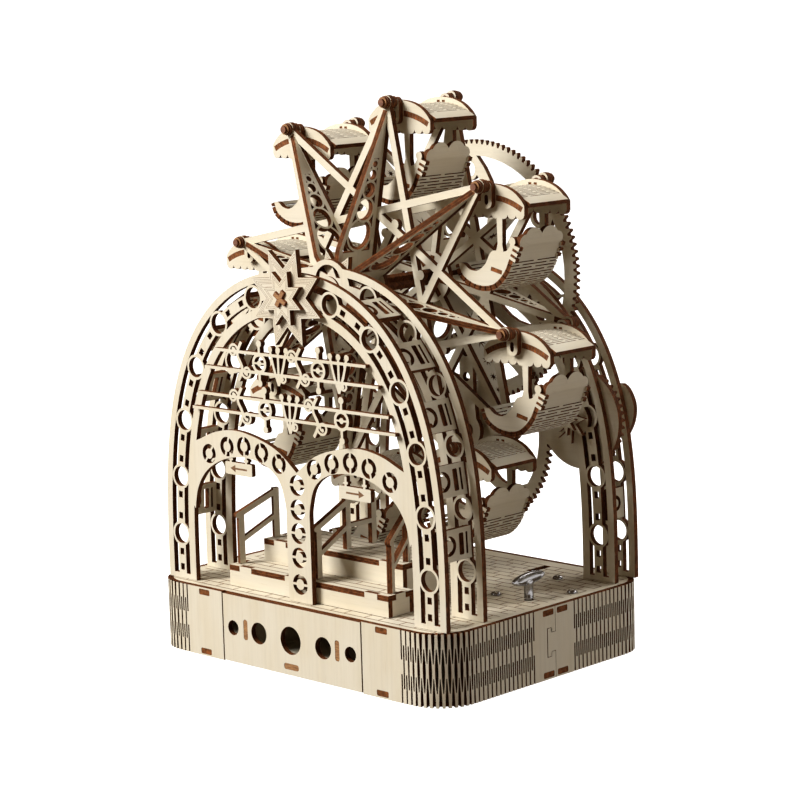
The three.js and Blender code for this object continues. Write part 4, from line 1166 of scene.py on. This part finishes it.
# ------------------------------------------------------------------ gondolas, about their pivot
HULL = smooth([(-22.8, -41.2), (-20.4, -46.6), (-13.5, -50.7), (-5, -51.9), (2.2, -50.0),
               (8.6, -44.0), (12.4, -36.6), (15.6, -29.6)], 6)
BACK = Path(HULL + smooth([(15.6, -29.6), (16.3, -25.0), (16.4, -20.6)], 6)[1:])
COMB = [BACK.length - 10.2 - 3.1 * i for i in range(3)]


def scallops(x0, x1, z, count, drop):
    """The lower edge of a gondola's roof board."""
    points = []
    step = (x1 - x0) / count
    for i in range(count):
        middle = x0 + step * (i + 0.5)
        points += [(middle - step / 2 * math.cos(math.pi * j / 6),
                    z - drop * math.sin(math.pi * j / 6)) for j in range(7)]
    return points


def car_side():
    """One end plate of a gondola: roof board, post and boat-shaped side."""
    roof = smooth([(-22.0, -9.6), (-19.2, -6.2), (-14.4, -2.6), (-8, -0.2), (0.4, 0.8), (8.8, -0.2),
                   (15.2, -2.6), (20.0, -6.2), (22.8, -9.6)], 5)
    fringe = scallops(-21.8, 22.6, -14.6, 8, 2.2)
    board = roof + [(22.8, -14.6)] + fringe[::-1] + [(-22.0, -14.6)]
    post = [(3.9, -14), (8.0, -14), (7.6, -30.0), (8.2, -33.4), (3.2, -33.4), (4.4, -30.0)]
    inside = smooth([(14.6, -26.6), (11.6, -31.6), (8.6, -33.4), (1.6, -33.2), (-1.4, -35.4),
                     (-4.6, -40.6), (-10.2, -44.2), (-15.6, -43.6), (-19.4, -41.0),
                     (-22.6, -41.0)], 5)
    hull = offset_line(HULL, -0.15)
    ops = [(ADD, board), (ADD, post), (ADD, hull + inside)]
    ops += [(ADD, circle(14.2, -28.0, 2.2, 16))] + [(ADD, tooth) for tooth in comb()]
    slot = spin(rect(-3.8, 3.8, -1.1, 1.1), -13, 3.2, -43.4)
    marks = []
    for side in (-1, 1):
        points = [side * (0.16 + 0.80 * i / 10) for i in range(11)]
        band = [on_canopy(t, -2.9) for t in points] + [on_canopy(t, 0) for t in points[::-1]]
        marks.append((band, EDGE))
        marks += [(bar(on_canopy(t + 0.04, -2.9), on_canopy(t + 0.04, 0), 0.35), DARK)
                  for t in points[:-1]]
    pegs = [rect(-2.9, -0.8, -4.0, -0.9), rect(0.8, 2.9, -4.0, -0.9)]
    return ops, [slot] + pegs, marks


def on_canopy(along, lift):
    """A point of the canopy's section about the pivot; along runs from -1 to 1, left to right."""
    a = along * math.asin(CANOPY_HALF / CANOPY_R)
    r = CANOPY_R + lift
    return CANOPY_X + r * math.sin(a), CANOPY_TOP - CANOPY_R + r * math.cos(a)


def comb():
    """The three teeth of a side plate that lock through the seat sheet's edge."""
    teeth = []
    for middle in COMB:
        low, high = middle - 0.85, middle + 0.85
        teeth.append([BACK.at(low, -1.5), BACK.at(high, -1.5), BACK.at(high, 3.9), BACK.at(low, 3.9)])
    return teeth


def bend_slits(s0, s1, y0, y1, pitch=1.75, line=0.62):
    """Short slits across the bend, staggered from row to row."""
    cuts = []
    row = 0
    s = s0
    span = y1 - y0
    while s < s1:
        if row % 2 == 0:
            ends = [(y0 - 1, y0 + span * 0.17), (y0 + span * 0.24, y0 + span * 0.76),
                    (y0 + span * 0.83, y1 + 1)]
        else:
            ends = [(y0 + span * 0.05, y0 + span * 0.46), (y0 + span * 0.54, y0 + span * 0.95)]
        cuts += [(CUT, rect(s - line / 2, s + line / 2, a, b)) for a, b in ends]
        s += pitch
        row += 1
    return cuts


def seat_sheet():
    """The bent seat and back: rows of slits up to a plain top with four rounded lobes."""
    y0, y1 = CABIN_FRONT, CABIN_BACK
    middle = (y0 + y1) / 2
    edge = BACK.length - 6.6
    ops = [(ADD, rect(0, edge, y0, y1)), (CUT, rect(edge - 2.6, edge + 1, y0 - 1, y0 + 1.8)),
           (CUT, rect(edge - 2.6, edge + 1, y1 - 1.8, y1 + 1))]
    for y, half, lift in ((middle - 6.2, 7.2, 5.6), (middle + 6.2, 7.2, 5.6), (y0 + 5.6, 4.4, 2.6),
                          (y1 - 5.6, 4.4, 2.6)):
        ops.append((ADD, [(edge - 1 + (lift + 1) * math.sin(TAU * i / 32),
                           y + half * math.cos(TAU * i / 32)) for i in range(32)]))
    for at in COMB:
        for y in (y0, y1):
            ops.append((CUT, rect(at - 0.95, at + 0.95, y - PLY - 0.1, y + PLY + 0.1)))
    cuts = bend_slits(2.0, BACK.length - 17.5, y0, y1)
    creases = [((s, y0 - 0.5), (s, y1 + 0.5)) for s in np.arange(1.1, BACK.length - 9, 1.75)]
    return BACK, ops + cuts, creases


def canopy_sheet():
    """The bent sheet over the roof boards, slit from end to end."""
    path = Path([on_canopy(i / 24 - 1, 0) for i in range(49)])
    total = path.length
    y0, y1 = CABIN_FRONT + PLY + 0.1, CABIN_BACK - PLY - 0.1
    ops = [(ADD, rect(0, total, y0, y1))] + bend_slits(6.0, total - 5.0, y0, y1, 1.45, 0.42)
    creases = [((s, y0 - 0.5), (s, y1 + 0.5)) for s in np.arange(0.7, total, 1.45)]
    return path, ops, creases


def cabin_meshes():
    """The end plates with their fittings, the seat sheet and the canopy sheet."""
    sides = Build()
    ops, tabs, marks = car_side()
    sides.sheet(ops, upright(CABIN_FRONT), marks=marks, tabs=tabs)
    sides.sheet(ops, upright_back(CABIN_BACK), marks=marks, tabs=tabs)
    bracket = [(ADD, round_rect(-3.6, 3.6, -11.6, 2.4, 3.0, 5)),
               (CUT, round_rect(-1.2, 1.2, -9.6, -4.6, 1.1, 4)), (CUT, circle(0, -1, 2.3, 18))]
    sides.sheet(bracket, upright(CABIN_FRONT - PLY - 0.05))
    sides.sheet(bracket, upright_back(CABIN_BACK + PLY + 0.05))
    sides.disc(0, 0, 2.2, Y_FRAME_FRONT - 1.0, CABIN_FRONT - 0.1, slot=DARK, n=20)
    sides.disc(0, 0, 2.2, CABIN_BACK + 0.1, Y_FRAME_REAR + PLY + 1.0, slot=DARK, n=20)
    sides.disc(0, 0, 3.0, Y_FRAME_FRONT + PLY + 0.1, CABIN_FRONT - PLY - 0.15, slot=AMBER)
    bench = [(ADD, rect(CABIN_FRONT + PLY + 0.1, CABIN_BACK - PLY - 0.1, 0, 9.4))]
    sides.sheet(bench, lambda u, v, w: (-1.0 + v, u, -34.0 - w), thick=2.2)
    path, ops, creases = seat_sheet()
    seat = Build().sheet(ops, bent_round_y(path, BENT), thick=BENT, creases=creases, grain=1)
    path, ops, creases = canopy_sheet()
    canopy = Build().sheet(ops, bent_round_y(path), thick=BENT, creases=creases, grain=1)
    return sides, seat, canopy


def cabins():
    """Eight gondolas that share their meshes."""
    parts = (("sides", "car"), ("seat", None), ("canopy", "canopy"))
    builds = cabin_meshes()
    meshes = {}
    for k in range(CABINS):
        x, z = around(k)
        body = f"cabin_{k + 1}"
        for build, (part, node_part) in zip(builds, parts):
            name = f"gondola_{k + 1}_{part}"
            stands_for = [f"{body}_{node_part}"] if node_part else []
            if k == 0:
                meshes[part] = build.piece(name, body, stands_for, at=(x, 0, z)).data
            else:
                put(meshes[part], name, body, stands_for, at=(x, 0, z))


# ------------------------------------------------------------------ steel: key and screws
def lathe(points, x, y, sides=28):
    """A turned solid on a Z axis, from (radius, height) pairs; both ends lie on the axis."""
    verts, faces = [], []
    for i in range(sides):
        verts += [(*polar(x, y, r, TAU * i / sides), z) for r, z in points[1:-1]]
    n = len(points) - 2
    bottom, top = len(verts), len(verts) + 1
    verts += [(x, y, points[0][1]), (x, y, points[-1][1])]
    for i in range(sides):
        j = (i + 1) % sides
        for k in range(n - 1):
            faces.append([i * n + k, j * n + k, j * n + k + 1, i * n + k + 1])
        faces.append([bottom, j * n, i * n])
        faces.append([i * n + n - 1, j * n + n - 1, top])
    return verts, faces


def steel_piece(name, parts, body, replaces, bevel=0.25):
    """A piece from (points, faces) parts, with its sharp edges softened."""
    verts, faces = [], []
    for v, f in parts:
        start = len(verts)
        verts += v
        faces += [[i + start for i in face] for face in f]
    mesh = new_mesh(name, verts, faces)
    mesh.materials.append(steel)
    turn_outwards(mesh, merge_flat=True)
    mesh.shade_smooth()
    piece = put(mesh, name, body, replaces)
    soften = piece.modifiers.new("soft_edges", "BEVEL")
    soften.width = bevel * MM
    soften.segments = 3
    soften.limit_method = "ANGLE"
    soften.angle_limit = math.radians(35)
    soften.harden_normals = True


def key():
    """The winding key: a domed oval grip, dished in on both faces, on a sleeved stem."""
    middle, half, rise = DECK + KEY_HEIGHT, 14.0, 3.3
    thick, dish = 1.35, 0.55                      # half the grip's thickness, and the dish's depth
    steps, rows = 48, 7
    c, s = math.cos(math.radians(KEY_TURN)), math.sin(math.radians(KEY_TURN))
    verts, faces = [], []

    def ring(side, width, height):
        """An oval of points, at that distance to one side of the grip's middle plane."""
        for i in range(steps):
            u, v = polar(0, 0, 1, TAU * i / steps)
            u, v = width * u, height * v
            verts.append((KEY_X + u * c - side * s, KEY_Y + u * s + side * c, middle + v))

    def join(lower, upper):
        """The faces between two ovals, each given by the number of its first point."""
        for i in range(steps):
            j = (i + 1) % steps
            faces.append([lower + i, lower + j, upper + j, upper + i])

    for row in range(rows):
        t = math.pi * row / (rows - 1)
        share = 0.82 + 0.18 * math.sin(t)
        ring(thick * math.cos(t), half * share, rise * share)
    for row in range(rows - 1):
        join(row * steps, (row + 1) * steps)
    for row, side in ((0, thick - dish), (rows - 1, dish - thick)):
        start = len(verts)
        ring(side, half * 0.70, rise * 0.52)
        join(row * steps, start)
        faces.append([start + i for i in range(steps)])
    stem = lathe([(0, 20), (1.98, 20), (1.98, DECK + 0.8), (2.6, DECK + 0.8), (2.6, DECK + 1.6),
                  (2.45, DECK + 1.9), (2.45, middle - 3.4), (2.6, middle - 3.1), (2.6, middle - 1.2),
                  (0, middle - 1.0)], KEY_X, KEY_Y)
    steel_piece("winding_key_grip", [(verts, faces), stem], "key", ["winding_key"])


def screws():
    """The three cross-head screws that hold the movement under the deck."""
    low = DECK + 0.3
    for number, (x, y) in enumerate(SCREWS, 1):
        head = lathe([(0, 30), (1.28, 30), (1.28, low), (2.8, low), (2.75, low + 0.6),
                      (2.3, low + 1.2), (1.4, low + 1.58), (1.2, low + 0.75), (0, low + 0.7)], x, y)
        steel_piece(f"movement_screw_{number}_head", [head], "base",
                    [f"movement_screw_{number}"], bevel=0.12)
        turn = 20 + 37 * number
        recess = Build().sheet([(ADD, spin(rect(-2.1, 2.1, -0.32, 0.32), turn, x, y)),
                                (ADD, spin(rect(-0.32, 0.32, -2.1, 2.1), turn, x, y))],
                               lying(low + 1.46), thick=0.25)
        recess.piece(f"movement_screw_{number}_recess", "base")


# ------------------------------------------------------------------ everything
def dress_carried_nodes():
    """The CAD solids that stay in view, the parts of the movement, are brass."""
    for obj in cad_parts.values():
        if obj.hide_render:
            continue
        if not obj.material_slots:
            obj.data.materials.append(brass)
        for slot in obj.material_slots:
            slot.material = brass


base_walls()
deck()
drawer()
front_arch()
rear_arch()
spacers()
sign()
direction_plates()
platform()
railings()
axle()
star_cap()
wheel_frame("front", Y_FRAME_FRONT, -42.4, side=-1, stars=False)
wheel_frame("rear", Y_FRAME_REAR, 57.5, side=1, stars=True)
gears()
crank()
cabins()
key()
screws()
dress_carried_nodes()


# ------------------------------------------------------------------ floor, light and camera
def glowing(name, colour, strength):
    """A plain pale surface that stays near white, so only a faint contact shadow shows."""
    material, _, shader = start_material(name)
    shader.inputs["Base Color"].default_value = (*colour, 1)
    shader.inputs["Roughness"].default_value = 0.9
    shader.inputs["Specular IOR Level"].default_value = 0.0
    shader.inputs["Emission Color"].default_value = (1, 1, 1, 1)
    shader.inputs["Emission Strength"].default_value = strength
    return material


def backdrop(name, bm, material):
    """A surface of the studio that throws no light on the object by itself."""
    mesh = bpy.data.meshes.new(name)
    bm.to_mesh(mesh)
    bm.free()
    mesh.materials.append(material)
    surface = bpy.data.objects.new(name, mesh)
    bpy.context.scene.collection.objects.link(surface)
    surface.visible_diffuse = False
    return surface


def stage():
    """The floor, and a white room round it that only the camera sees."""
    bm = bmesh.new()
    bmesh.ops.create_circle(bm, cap_ends=True, segments=96, radius=7.9)
    floor = backdrop("floor", bm, glowing("pale_floor", (0.4, 0.4, 0.4), 0.94))
    floor.location.z = -0.0002
    bm = bmesh.new()
    bmesh.ops.create_uvsphere(bm, u_segments=48, v_segments=24, radius=8)
    bmesh.ops.reverse_faces(bm, faces=bm.faces)
    room = backdrop("room", bm, glowing("pale_room", (0, 0, 0), 1.0))
    room.visible_glossy = False
    room.visible_transmission = False
    room.visible_shadow = False


def area_light(name, place, target, power, size, colour=(1, 1, 1)):
    light = bpy.data.lights.new(name, "AREA")
    light.energy = power
    light.size = size
    light.color = colour
    lamp = bpy.data.objects.new(name, light)
    lamp.location = place
    lamp.rotation_euler = (Vector(target) - Vector(place)).to_track_quat("-Z", "Y").to_euler()
    bpy.context.scene.collection.objects.link(lamp)


def lights():
    world = bpy.data.worlds.new("studio")
    world.use_nodes = True
    background = world.node_tree.nodes["Background"]
    background.inputs["Color"].default_value = (1.0, 0.74, 0.50, 1)
    background.inputs["Strength"].default_value = 0.15
    bpy.context.scene.world = world
    target = (0, 0, 0.14)
    area_light("key_light", (-0.9, -1.5, 1.5), target, 74, 0.9, (1.0, 0.99, 0.975))
    area_light("fill_light", (2.1, 0.5, 0.5), target, 9, 1.6, (0.94, 0.97, 1.0))
    area_light("back_light", (0.5, 1.7, 1.4), target, 20, 1.0)


def camera():
    """The view: from the front right, a little above the middle of the wheel."""
    place = Vector((942.6, -965.1, 357.5)) * MM
    yaw, pitch, roll = math.radians(44.16), math.radians(9.32), math.radians(-1.61)
    forward = Vector((-math.sin(yaw) * math.cos(pitch), math.cos(yaw) * math.cos(pitch),
                      -math.sin(pitch)))
    right = Vector((math.cos(yaw), math.sin(yaw), 0))
    up = right.cross(forward)
    right, up = (right * math.cos(roll) + up * math.sin(roll),
                 up * math.cos(roll) - right * math.sin(roll))
    data = bpy.data.cameras.new("view")
    data.sensor_width = 36
    data.lens = 113.805
    data.clip_start = 0.05
    data.clip_end = 50
    lens = bpy.data.objects.new("view", data)
    turn = Matrix((right, up, -forward)).transposed().to_4x4()
    lens.matrix_world = Matrix.Translation(place) @ turn
    bpy.context.scene.collection.objects.link(lens)
    bpy.context.scene.camera = lens


stage()
lights()
camera()
bpy.context.scene.view_settings.view_transform = "Standard"
bpy.context.scene.view_settings.look = "Medium High Contrast"
